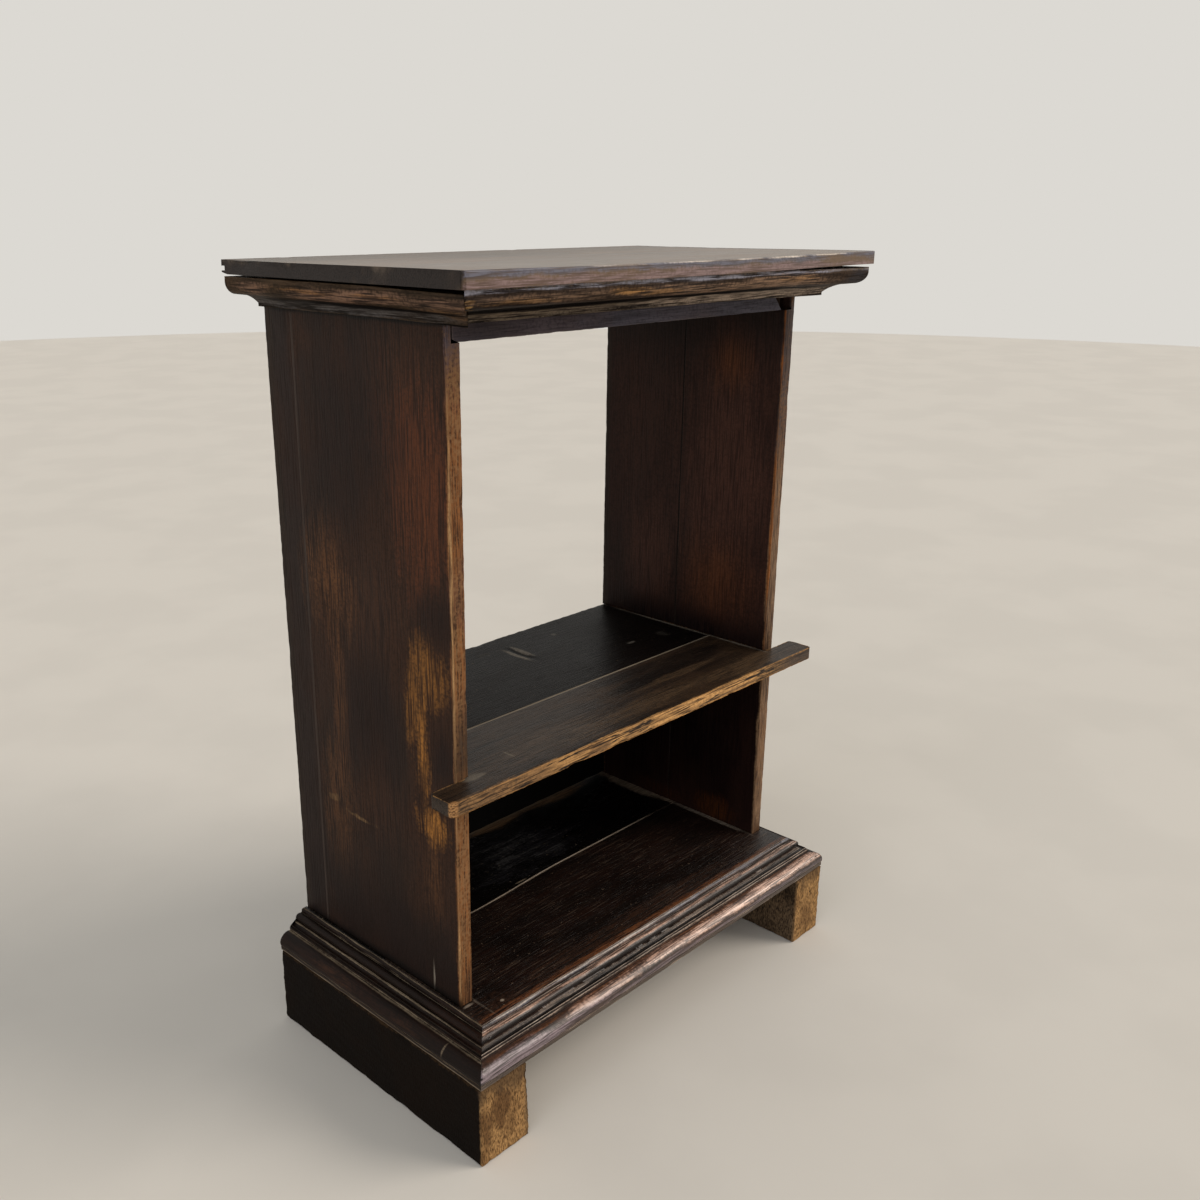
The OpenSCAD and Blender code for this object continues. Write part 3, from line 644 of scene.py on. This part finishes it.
# sides: upright boards, dark outside with golden bare streaks, and bare golden front edges
side = {
    **board, "cells": (None, 0.008, 0.004), "seed": 13, "chips": 0.002, "round": 0.0010,
    "joints": ((1, 0.1345), (1, 0.1285), (1, 0.0435), (1, 0.0375)),
    "lean": {"by": 0.0045, "y": (0.13, 0.1785), "z": (0.141, 0.898)},
    "leftLook": {
        "tones": ("#1e130d", "#2b1e18", "#3a2418"), "worn": "#906c49",
        "roughness": 0.5, "shine": 0.1, "warmth": 0.6, "streaks": 0.3, "fibres": 0.25,
        "seam": "#443a34",
        "layers": (
            stainAndLight("#281e1b", "#1d1513", ((-280, 160, 500), (12, 30, 600), 0.8)),
            stainAndLight("#442b1d", "#2e1e17", ((-280, -48, 810), (12, 60, 50), 0.6),
                  ((-280, 20, 565), (12, 70, 60), 0.6), ((-280, 82, 445), (12, 14, 100), 0.7),
                  ((-280, 20, 340), (12, 60, 40), 0.4), ragged=0.7, soft=0.3),
            stainAndLight("#5e341e", "#3c2418", ((-280, -66, 700), (12, 54, 100), 0.85),
                  ((-280, -66, 755), (12, 50, 34), 0.6), ragged=0.9, grainy=0.3, soft=0.3),
            stainAndLight("#684428", "#332116", ((-280, 92, 576), (12, 34, 60), 0.8),
                  ((-280, 95, 315), (12, 28, 64), 0.42), ((-280, 97, 270), (12, 14, 40), 0.3),
                  ((-280, -68, 282), (12, 20, 55), 0.4), ((-280, 84, 470), (12, 10, 110), 0.6),
                  ragged=0.9, grainy=0.7, soft=0.3),
            stainAndLight("#98662f", "#4c2f1a", ((-280, -72, 512), (12, 34, 44), 0.6),
                  ((-280, -56, 430), (12, 13, 80), 1.0), ((-280, -72, 347), (12, 30, 24), 1.0),
                  ((-280, -42, 480), (12, 12, 60), 0.6), ragged=0.9, grainy=0.5, soft=0.1),
            stainAndLight("#211512", "#1a110f", ((-280, 55, 735), (12, 76, 105), 0.75),
                  ((-280, 33, 438), (12, 44, 76), 0.9), ((-280, -86, 576), (12, 34, 30), 0.8),
                  ((-280, -90, 432), (12, 20, 36), 0.85), grainy=0.2, soft=0.3),
            stainAndLight("#1d120f", "#150d0b", ((-280, 0, 170), (12, 200, 72), 0.85), soft=0.3),
            stainAndLight("#826644", "#553f2b", ((-280, 60, 308), (12, 24, 2.6), 0.6),
                  ((-280, 108, 318), (12, 10, 4), 0.4), grainy=0.5, stray=18),
            stainAndLight("#8e8476", "#70675c", ((-280, -63.4, 158), (6, 1.4, 20), 1.0), ragged=0.2,
                  roughness=0.3, stray=3),
            stainAndLight("#835530", "#4c301d", ((-271, -106.5, 500), (60, 4, 700), 0.95), pits=0.5),
            stainAndLight("#573f3a", "#3c2a27", ((-271, -106.5, 870), (60, 5, 100), 0.85),
                  ((-271, -106.5, 600), (60, 5, 34), 0.4), ragged=0.9),
            stainAndLight("#b08a5e", "#73543a", ((-279, -106.5, 560), (1.8, 2.5, 300), 0.85),
                  ((-279, -106.5, 200), (1.8, 2.5, 60), 0.85), ragged=0.5, over=True, stray=2),
            stainAndLight("#44382e", "#1e1815", ((-268, -106.5, 440), (16, 4, 60), 0.95),
                  ((-262, -106.5, 150), (16, 4, 30), 0.5), ragged=0.7, over=True, pits=0.6,
                  soft=0.2),
            stainAndLight("#524d56", "#35303a", ((-271, -106.5, 890), (60, 5, 72), 0.95), ragged=0.4,
                  over=True),
            # painted shade: dark lines just under the cornice and just above the base moulding
            stainAndLight("#0b0807", "#070504", ((-280, 0, 864), (4, 300, 3.4), 0.9),
                  ((-280, 0, 140), (4, 300, 9), 0.85), ragged=0.3, grainy=0, over=True, soft=0.2),
            stainAndLight("#2c211a", "#1c1511", ((-271, 179, 500), (60, 11, 900), 0.95), ragged=0.4,
                  over=True, grainy=0.1),
        ),
    },
    "rightLook": {
        "tones": ("#1a100c", "#271814", "#351f17"), "worn": "#7f5c3e", "bare": 0.5,
        "shine": 0.08, "warmth": 0.4, "streaks": 0.15, "fibres": 0.2, "dustAndShadeShare": 0.25,
        "seam": "#201814",
        "layers": (
            stainAndLight("#4c3026", "#38221b", ((262, -30, 660), (12, 76, 200), 0.85),
                  ((262, 88, 510), (12, 36, 80), 0.7), ((262, 110, 700), (12, 50, 150), 0.35),
                  ragged=0.7, soft=0.45, grainy=0),
            stainAndLight("#653a20", "#4a2a17", ((262, -28, 785), (12, 30, 36), 0.8),
                  ((262, -24, 490), (12, 50, 50), 0.5), soft=0.45, grainy=0),
            # painted shade: the inner face near black in the lower bay and along the shelf
            stainAndLight("#0b0506", "#060303", ((262, 30, 410), (12, 200, 32), 0.95),
                  ((262, 30, 280), (12, 200, 130), 0.93), ragged=0.5, soft=0.3),
            stainAndLight("#462610", "#24130a", ((262, -36, 155), (12, 34, 18), 0.85),
                  ((262, 56, 150), (12, 44, 12), 0.3), grainy=0.1, soft=0.2, over=True),
            stainAndLight("#1a1413", "#120e0d", ((262, 10, 858), (3, 190, 64), 0.9), ragged=0.4, soft=0.5,
                  grainy=0, over=True),
            stainAndLight("#4a403d", "#352d2c", ((271, -106.5, 720), (60, 4, 200), 0.9), ragged=0.5),
            stainAndLight("#8a6d52", "#523f33", ((271, -106.5, 560), (60, 4, 150), 0.8),
                  ((271, -106.5, 260), (60, 4, 150), 0.9)),
            stainAndLight("#935727", "#613719", ((261.6, -106, 620), (2.2, 3, 230), 0.8), ragged=0.4,
                  over=True),
            stainAndLight("#2c211a", "#1c1511", ((271, 179, 500), (60, 11, 900), 0.95), ragged=0.4,
                  over=True, grainy=0.1),
        ),
    },
}


def leftRearShape(place):
    # the left side's back edge leans out towards the top
    return place + Vector((0, bend(side["lean"], place), 0))


sideOaks = {"left": oakFinish("leftSideOak", side["leftLook"]),
            "right": oakFinish("rightSideOak", side["rightLook"])}
for hand in ("left", "right"):
    for part in ("front", "rear"):
        leans = leftRearShape if (hand, part) == ("left", "rear") else None
        panel = wornPiece(hand + "_side_" + part + "_board", side, leans)
        dress(panel, sideOaks[hand])
print("sides made")

# shelf: two boards, the front one with a rough golden edge and an ear at each end
shelf = {
    **board, "cells": (0.003, 0.006, 0.006), "grain": 0, "seed": 17, "chips": 0.004, "wear": 0.0007,
    "round": 0.0014, "joints": ((1, -0.0175), (1, -0.0171)),
    "ear": (-0.315, -0.1415), "earClip": 0.005,  # the left ear's front corner, and what is cut off
    "gouge": ((0.030, 0.112), (0.006, 0.030), 0.0018),  # middle, half size, depth
    "gougeAbove": 0.405,
    "frontLook": {
        "grain": 0, "tones": ("#140f0c", "#31251c", "#3e2e1f"), "worn": "#b88952",
        "roughness": 0.38, "shine": 0.16, "warmth": 0.6, "streaks": 0.85, "specks": 0.4,
        "seam": "#7a7061",
        "layers": (
            stainAndLight("#0c0807", "#070504", ((90, -62, 410), (120, 12, 12), 0.8),
                  ((190, -48, 410), (80, 14, 12), 0.7), ((60, -36, 410), (60, 9, 12), 0.7),
                  ((200, -88, 410), (60, 8, 12), 0.5), ragged=1.1, grainy=0.2),
            stainAndLight("#574431", "#31271d", ((60, -112, 410), (200, 16, 12), 0.7),
                  ((120, -76, 410), (80, 6, 12), 0.6), ((-130, -100, 410), (120, 20, 12), 0.4),
                  ((220, -120, 410), (70, 24, 12), 0.8), ragged=0.9),
            stainAndLight("#cf9e63", "#70502f", ((0, -141.5, 402), (310, 3.5, 22), 0.97), ragged=0.5,
                  grainy=0.2, roughness=0.2, pits=1.0),
            stainAndLight("#7d5e3f", "#453325", ((-240, -141.5, 402), (90, 4.5, 22), 0.8),
                  ((-100, -141.5, 399), (16, 4.5, 5), 0.8),
                  ((-40, -141.5, 402), (16, 4.5, 22), 0.5),
                  ((120, -141.5, 398), (60, 4.5, 3), 0.7), ragged=1.0, pits=0.9, grainy=0.2),
            stainAndLight("#534438", "#352c27", ((300, -141.5, 402), (80, 5, 22), 0.9), ragged=0.8,
                  pits=0.5),
            stainAndLight("#3f342a", "#2b231e", ((-316, -125, 398), (4, 24, 10), 0.9),
                  ((-300, -107, 410), (20, 2, 8), 0.5), ragged=0.4, over=True),
            stainAndLight("#bf8e5a", "#7f5733", ((-314, -139, 402), (7, 4, 14), 0.8), ragged=0.5,
                  roughness=0.2, over=True),
            stainAndLight("#271f1a", "#1b1512", ((-320, -120, 394), (16, 40, 1.2), 0.6), ragged=0.2,
                  over=True, grainy=0),
            stainAndLight("#817a6e", "#665e53", ((-195, -96, 410), (1.6, 9, 3), 0.6),
                  ((262, -60, 410), (2.6, 50, 2), 0.8), ((-258, -110, 410), (15, 7, 2), 0.5),
                  ragged=0.3, grainy=0.2, stray=2, roughness=0.4, over=True),
        ),
    },
    "rearLook": {
        "grain": 0, "tones": ("#070505", "#0e0a09", "#150e0b"), "worn": "#625950", "bare": 0.3,
        "roughness": 0.33, "shine": 0.04, "warmth": 0.3, "specks": 0.6, "seam": "#7a7061",
        "streaks": 0.3,
        "layers": (
            stainAndLight("#7f7970", "#625d56", ((23, 114, 410), (4.2, 27, 5), 0.95),
                  ((38, 119, 410), (4, 23, 5), 0.95), ((115, 136, 410), (4, 4, 4), 0.6),
                  ((165, 40, 410), (8, 3, 4), 0.5), ragged=0.25, grainy=0.3, roughness=0.3,
                  over=True),
            stainAndLight("#090807", "#070505", ((30.5, 116, 410), (2.4, 24, 5), 0.9), ragged=0.2,
                  grainy=0.1, over=True),
            stainAndLight("#524f48", "#3a3732", ((-5, 145, 410), (14, 5, 4), 0.4),
                  ((222, 34, 410), (8, 10, 4), 0.4), ragged=0.8, roughness=0.3),
            stainAndLight("#817a6e", "#665e53", ((262, 60, 410), (2.8, 110, 2), 0.8),
                  ((60, 178, 410), (300, 1.6, 2), 0.5), ragged=0.3, grainy=0.2, stray=2,
                  roughness=0.4, over=True),
        ),
    },
}


def shelfShape(place):
    # the left ear's front corner is clipped, and the rear board has a gouge in its upper face
    x, y, z = place
    if x < 0:
        x, y = clipCorner(x, y, sum(shelf["ear"]) - x - y + shelf["earClip"], share=0.5)
    middle, half, depth = shelf["gouge"]
    inside = ((x - middle[0]) / half[0]) ** 2 + ((y - middle[1]) / half[1]) ** 2
    if z > shelf["gougeAbove"] and inside < 1:
        z -= depth * (1 - inside)
    return Vector((x, y, z))


for part in ("front", "rear"):
    oak = oakFinish(part + "ShelfOak", shelf[part + "Look"])
    dress(wornPiece("shelf_" + part + "_board", shelf, shelfShape), oak)
print("shelf made")

# deck: the glossy, nearly black floor of the lower bay
deck = {
    **board, "cells": (0.004, 0.006, None), "grain": 0, "seed": 19, "round": 0.0009,
    "joints": ((1, 0.0217), (1, 0.0221)), "seamAt": 0.0219, "seamReach": 0.06,
    "seamBend": {"by": 0.007, "x": (-0.14, 0.02)},
    "frontLook": {
        "grain": 0, "tones": ("#0b0605", "#160d09", "#26130c"), "worn": "#705c49", "bare": 0.3,
        "roughness": 0.36, "shine": 0.35, "specks": 0.5, "fibres": 0.5,
        "seam": "#827566", "relief": 0.8, "paleLines": 0.24, "dustAndShade": "#7f6a57",
        "layers": (
            stainAndLight("#442e22", "#1a100b", ((-60, -128, 141), (200, 14, 6), 0.5),
                  ((60, -118, 141), (60, 5, 6), 0.5), ragged=1.0, grainy=0.6),
            stainAndLight("#70452a", "#351c11", ((0, -143, 141), (400, 5, 3), 0.9), ragged=0.5, grainy=0.5),
            stainAndLight("#0f0907", "#0a0605", ((240, 26, 141), (40, 8, 3), 0.9), grainy=0, over=True),
            stainAndLight("#8e8172", "#665a4f", ((-240, -130, 141), (2.5, 2, 2), 0.9),
                  ((258, -30, 141), (5, 80, 2), 0.75), ((-273, -111, 141), (6, 2, 2), 0.7),
                  ((-262, -40, 141), (2, 90, 2), 0.4), ragged=0.3, grainy=0.2, stray=2,
                  roughness=0.4, over=True),
        ),
    },
    "rearLook": {
        "grain": 0, "tones": ("#030303", "#070505", "#0c0807"), "worn": "#544538", "bare": 0.3,
        "roughness": 0.28, "specks": 0.7, "warmth": 0.3, "seam": "#827566",
        "layers": (
            stainAndLight("#8a6c4e", "#5a4533", ((28, 168, 141), (48, 15, 6), 0.7),
                  ((150, 168, 141), (66, 15, 6), 1.0), ragged=0.5, grainy=0.2, roughness=0.4,
                  over=True),
            stainAndLight("#2c2b30", "#0e0d0f", ((0, 105, 141), (70, 56, 6), 0.4),
                  ((-60, 60, 141), (50, 20, 6), 0.4), ragged=1.6, grainy=0.6, roughness=0.3),
            # centred above the board, so that only ragged tips touch it
            stainAndLight("#474646", "#1a1919", ((-6, 104, 150), (56, 50, 6), 0.5),
                  ((-50, 70, 149), (24, 14, 6), 0.5), ragged=2.6, grainy=0.6, roughness=0.4,
                  over=True, stray=8),
            stainAndLight("#0f0907", "#0a0605", ((240, 29, 141), (40, 8, 3), 0.9), grainy=0, over=True),
            stainAndLight("#8a7966", "#5a4c3f", ((256, 115, 141), (10, 76, 2), 0.95),
                  ((258, 40, 141), (6, 60, 2), 0.9), grainy=0.2, roughness=0.4, over=True),
            stainAndLight("#7f725f", "#64594b", ((-52, 31, 141), (10, 1.4, 3), 0.8),
                  ((60, 169.4, 141), (300, 1.6, 3), 0.6), ragged=0.3, grainy=0.2, stray=3,
                  roughness=0.4, over=True),
        ),
    },
}


def deckShape(place):
    # the joint between the boards wanders back towards the right
    near = 1 - easing(0, deck["seamReach"], abs(place.y - deck["seamAt"]))
    return place + Vector((0, bend(deck["seamBend"], place) * near, 0))


for part in ("front", "rear"):
    oak = oakFinish(part + "DeckOak", deck[part + "Look"])
    dress(wornPiece("deck_" + part + "_board", deck, deckShape), oak)
panelLook = {**deck["rearLook"], "layers": (), "specks": 0.2, "roughness": 0.5, "shine": 0.08}
backPanel = wornPiece("lower_back_panel", {**deck, "cells": (0.008, None, 0.008)})
dress(backPanel, oakFinish("panelOak", panelLook))
print("deck made")

# base moulding: pale worn fillets with painted highlight on them, painted pinkish highlights on the
# rounds, painted shade in the quirks and under the rounds, pale dusty quirks on the left
base = {
    **board, "round": 0.0003, "rim": 0.002, "reach": 0.0016, "waver": 0.0004, "wear": 0.0002,
    "chips": 0.0012,
    "frontLook": {
        "grain": 0, "tones": ("#1f1714", "#40312b", "#553a2c"), "worn": "#b19d8c", "bare": 0.85,
        # its inner corners are painted near black: painted shade in the quirks
        "roughness": 0.36, "shine": 0.35, "coat": 0.15, "dustAndShade": "#100b09", "dustAndShadeShare": 0.7,
        "warmth": 0.6, "streaks": 0.8, "fibres": 0.45, "edge": (0.4, 0.85),
        "layers": (
            stainAndLight("#64646c", "#413d42", ((0, -147.4, 139.5), (900, 2.8, 3.2), 0.9), ragged=0.7,
                  coat=-0.1),
            # painted highlight: pinkish, along the top of the torus
            stainAndLight("#bd9a86", "#745a4c", ((0, -153.4, 136), (900, 3.4, 2.6), 1.0), ragged=0.8,
                  coat=0.3, grainy=0.5),
            stainAndLight("#6b3f1e", "#3a2014", ((60, -172, 119), (300, 5, 2.2), 0.9),
                  ((-260, -171, 118), (60, 4, 3), 0.4), ragged=0.7),
            # painted highlight: pinkish white along the ovolo's upper part
            stainAndLight("#d3ad98", "#896757", ((120, -178, 116), (210, 8, 4.4), 1.0),
                  ((-120, -178, 115.5), (90, 8, 3), 0.7), ragged=1.0, coat=0.4, grainy=0.5,
                  stray=10, roughness=-0.1),
            # painted sheen: purple-grey on the ovolo's nose and left part
            stainAndLight("#94848a", "#625659", ((-240, -181, 111), (120, 8, 6), 0.8),
                  ((60, -184, 107), (300, 5, 3), 0.5), ragged=0.8, coat=0.1),
            # painted shade: the torus front and the hollow beneath it dark
            stainAndLight("#1a1310", "#0e0a09", ((0, -159, 131.4), (900, 2.6, 3.4), 1.0),
                  ((0, -163.3, 123.4), (900, 3.6, 3.6), 1.0), ragged=0.35, over=True, grainy=0.1,
                  coat=-0.15),
            # painted shade: dark along the slip edge under the torus
            stainAndLight("#1a1310", "#0e0a09", ((0, -159.7, 126.8), (900, 2.2, 1.5), 0.75), ragged=0.2,
                  over=True, grainy=0.1, coat=-0.15, stray=2),
            stainAndLight("#8f8274", "#4d4138", ((0, -159.4, 127), (900, 0.9, 0.7), 0.4), over=True,
                  grainy=0.3, stray=3),
            # pale worn chips along the fillets, partly painted highlight
            stainAndLight("#c4b6a6", "#81736a", ((0, -166.2, 125.4), (900, 1.3, 0.9), 0.85),
                  ((40, -168.2, 123.2), (300, 1.1, 0.8), 0.8),
                  ((-120, -147.6, 140.2), (200, 1.6, 1.4), 0.6), ragged=0.9, over=True, grainy=0.3,
                  stray=4),
            # painted shade: the ovolo's underside darker
            stainAndLight("#32261f", "#1b1410", ((0, -184, 100.6), (900, 9, 3.6), 0.9), ragged=0.3,
                  over=True, grainy=0.1, coat=-0.1),
            # painted shade: near black in the quirks and the hollow
            stainAndLight("#0d0908", "#080605", ((0, -163.3, 122), (900, 3.2, 2), 0.97),
                  ((0, -150.4, 136.4), (900, 1.2, 1.3), 0.9),
                  ((0, -169.4, 120.8), (900, 1.6, 1.4), 0.9), ragged=0.2, over=True, grainy=0.1,
                  coat=-0.15),
        ),
    },
    "sideLook": {
        "grain": 1, "tones": ("#120c09", "#1b120e", "#2b1a13"), "worn": "#463d33", "bare": 0.2,
        # its inner corners are painted dark: painted shade in the quirks
        "shine": 0.1, "dustAndShade": "#120f0c", "dustAndShadeShare": 0.8, "warmth": 0.6,
        "layers": (
            stainAndLight("#442b1d", "#201611", ((-318, 60, 112), (12, 60, 6), 0.5),
                  ((-318, -60, 110), (12, 30, 6), 0.3), ragged=1.0),
            stainAndLight("#877863", "#695b4b", ((-298.2, 0, 126.8), (1.9, 300, 1.7), 0.95),
                  ((-307.8, 0, 119.4), (2.4, 300, 1.5), 0.9),
                  ((-320.8, 0, 103.5), (2.4, 300, 1.2), 0.7),
                  ((-321.5, 0, 98.5), (2.4, 300, 1.1), 0.75),
                  ((-285.6, 0, 141), (0.9, 300, 1), 0.9), ((-289.4, 0, 137), (1, 300, 1.2), 0.7),
                  ((-317, -121, 113), (12, 1.3, 6), 0.6), ragged=0.35, grainy=0.2, stray=3,
                  over=True, roughness=0.4),
        ),
    },
}
baseRuns = {
    "base_moulding_front": ((0.003, None, None), 0, "frontLook"),
    "base_moulding_left": ((None, 0.003, None), 1, "sideLook"),
    "base_moulding_right": ((None, 0.003, None), 1, "sideLook"),
}
baseOaks = {"frontLook": oakFinish("baseFrontOak", base["frontLook"]),
            "sideLook": oakFinish("baseSideOak", base["sideLook"])}
for node, (cells, grain, look) in baseRuns.items():
    run = wornPiece(node, {**base, "cells": cells, "grain": grain, "seed": 23 + grain})
    dress(run, baseOaks[look])
print("base moulding made")

# feet: sledge blocks with rough tan end grain in front
foot = {
    **board, "cells": (0.0022, 0.008, 0.0022), "rim": 0.0016, "round": 0.002, "reach": 0.006,
    "waver": 0.0010, "wear": 0.0012, "chips": 0.006, "fur": 0.0010, "grain": 1, "seed": 29,
    "flare": {"by": 0.0035, "x": (-0.29, -0.2542), "z": (0.098, 0)},
    "nailHoles": ((0.2661, 0.0879), (0.2997, 0.0655)), "holeRadius": 0.003, "holeDepth": 0.0025,
    "holesAhead": -0.18,  # only in the front end
    "look": {
        "tones": ("#0b0705", "#100a06", "#170e07"), "worn": "#543f2a", "bare": 0.3,
        "roughness": 0.7, "shine": 0.06, "relief": 1.0, "fibres": 0.15, "mottle": 0.15, "streaks": 0.2,
        "along": (0.35, 0.3, 0.7),
        "layers": (
            stainAndLight("#b08959", "#6e5032", ((0, -183.5, 40), (900, 4, 400), 0.97), ragged=0.3,
                  grainy=0.1, stray=2, pits=0.35),
            stainAndLight("#62452b", "#3f2b1a", ((-296, -183.5, 66), (13, 5, 24), 0.85),
                  ((-314, -183.5, 30), (7, 5, 40), 0.8), ((-276, -183.5, 34), (9, 5, 18), 0.5),
                  ((292, -183.5, 40), (16, 5, 22), 0.6), ((270, -183.5, 66), (8, 5, 24), 0.6),
                  ragged=1.5, grainy=0.2, stray=12),
            stainAndLight("#4f3e2e", "#362b22", ((0, -183.5, 99), (900, 6, 22), 0.8), ragged=0.9),
            stainAndLight("#6c5944", "#3f3327", ((262, 0, 50), (4, 400, 90), 0.9),
                  ((-254, 0, 50), (4, 400, 90), 0.7), soft=0.2),
            stainAndLight("#19120c", "#100a07", ((266.1, -183.5, 87.9), (2.2, 6, 2.6), 1.0),
                  ((299.7, -183.5, 65.5), (2.2, 6, 2.6), 1.0), ragged=0.2, grainy=0.0, stray=0,
                  over=True),
        ),
    },
}


def footShape(place):
    # the left foot widens inwards to the floor, the right one has two nail holes in its end
    x, y, z = place
    x += bend(foot["flare"], place) * (x < 0)
    for across, up in foot["nailHoles"]:
        inside = ((x - across) ** 2 + (z - up) ** 2) / foot["holeRadius"] ** 2
        if y < foot["holesAhead"] and inside < 1:
            y += foot["holeDepth"] * (1 - inside)
    return Vector((x, y, z))


footOak = oakFinish("footOak", foot["look"])
for node in ("left_foot", "right_foot"):
    dress(wornPiece(node, foot, footShape), footOak)
print("feet made")

# the frame behind: plain sawn pine, never finished
pine = {
    **board, "cells": (0.012, 0.012, None), "seed": 31, "chips": 0.002,
    "look": {
        "grain": 0, "tones": ("#554430", "#735c41", "#65482e"), "worn": "#886f52", "bare": 0.3,
        "roughness": 0.75, "fibres": 0.3, "dustAndShadeShare": 0.3, "dustAndShade": "#443c33",
    },
}
pineAcross = oakFinish("packingPine", pine["look"])
pineAlong = oakFinish("bearerPine", {**pine["look"], "grain": 1})
for node in ("cornice_packing", "front_bearer", "rear_bearer"):
    dress(wornPiece(node, {**pine, "grain": 0}), pineAcross)
for node in ("left_bearer", "right_bearer", "top_glue_blocks"):
    dress(wornPiece(node, {**pine, "grain": 1}), pineAlong)
print("bearers, packing and glue blocks made")

# wrought nails: their own frame solids, dressed in rust
nail = {"iron": "#26211f", "rust": "#522d1d", "roughness": 0.7, "patches": (900, 4)}


def nailFinish(look):
    material = bpy.data.materials.new("nailIron")
    material.use_nodes = True
    iron = Finish(material.node_tree)
    place = iron.node("ShaderNodeTexCoord", {}, {}, "Object")
    patch = iron.noise(place, *look["patches"])
    rust = iron.fade(patch, 0.42, 0.6)
    relief = iron.node("ShaderNodeBump", {}, {
        "Strength": 0.5, "Distance": 0.0002, "Height": patch})
    shader = iron.node("ShaderNodeBsdfPrincipled", {}, {
        "Base Color": iron.blend(rust, tone(look["iron"]), tone(look["rust"])),
        "Metallic": 1 - rust, "Roughness": look["roughness"] + rust * 0.2, "Normal": relief})
    iron.node("ShaderNodeOutputMaterial", {}, {"Surface": shader})
    return material


nailIron = nailFinish(nail)
for node in ("cornice_nails", "packing_nails", "base_moulding_nails", "side_nails",
             "foot_nails", "bearer_nails", "panel_nails"):
    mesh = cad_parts[node].data
    mesh.materials.clear()
    mesh.materials.append(nailIron)
print("nails dressed")

# plain pale floor, pale surroundings, one soft key from the right front: suns, so the floor is even
studio = {
    "floor": "#d8d4cc", "floorRadius": 9, "floorClouds": (3, 5),
    "surroundings": "#dcd9d3",
    "ambient": 0.66,
    "key": {"from": (0.62, -0.62, 0.56), "spread": 34, "strength": 1.8, "tone": "#fff4e8"},
    "fill": {"from": (-0.85, -0.25, 0.45), "spread": 60, "strength": 0.95, "tone": "#f3f5ff"},
}


def makeFloor():
    material = bpy.data.materials.new("paleFloor")
    material.use_nodes = True
    paint = Finish(material.node_tree)
    place = paint.node("ShaderNodeTexCoord", {}, {}, "Object")
    pale = tone(studio["floor"])
    darker = tuple(0.96 * p for p in pale[:3]) + (1.0,)
    clouds = paint.fade(paint.noise(place, *studio["floorClouds"]), 0.4, 0.6)
    shader = paint.node("ShaderNodeBsdfPrincipled", {}, {
        "Base Color": paint.blend(clouds, pale, darker), "Roughness": 0.8})
    paint.node("ShaderNodeOutputMaterial", {}, {"Surface": shader})
    made = bmesh.new()
    bmesh.ops.create_circle(made, cap_ends=True, segments=96, radius=studio["floorRadius"])
    mesh = bpy.data.meshes.new("paleFloor")
    made.to_mesh(mesh)
    made.free()
    mesh.materials.append(material)
    floor = bpy.data.objects.new("paleFloor", mesh)
    bpy.context.scene.collection.objects.link(floor)


def makeSurroundings():
    world = bpy.data.worlds.new("paleRoom")
    bpy.context.scene.world = world
    world.use_nodes = True
    room = Finish(world.node_tree)
    seen = room.node("ShaderNodeLightPath", {}, {}, "Is Camera Ray")
    mirrored = room.node("ShaderNodeLightPath", {}, {}, "Is Glossy Ray")
    pale = tone(studio["surroundings"])
    lit = room.node("ShaderNodeBackground", {}, {"Color": pale, "Strength": studio["ambient"]})
    shown = room.node("ShaderNodeBackground", {}, {"Color": pale, "Strength": 1.0})
    either = room.maths("MAXIMUM", seen, mirrored)
    mixed = room.node("ShaderNodeMixShader", {}, {0: either, 1: lit, 2: shown})
    room.node("ShaderNodeOutputWorld", {}, {"Surface": mixed})


def makeLamp(name, look):
    data = bpy.data.lights.new(name, "SUN")
    data.angle = math.radians(look["spread"])
    data.energy = look["strength"]
    data.color = tone(look["tone"])[:3]
    lamp = bpy.data.objects.new(name, data)
    lamp.location = 3 * Vector(look["from"])
    lamp.rotation_euler = (-Vector(look["from"])).to_track_quat("-Z", "Y").to_euler()
    bpy.context.scene.collection.objects.link(lamp)


makeFloor()
makeSurroundings()
makeLamp("keyLamp", studio["key"])
makeLamp("fillLamp", studio["fill"])
print("studio made")

bpy.context.scene.view_settings.view_transform = "Standard"
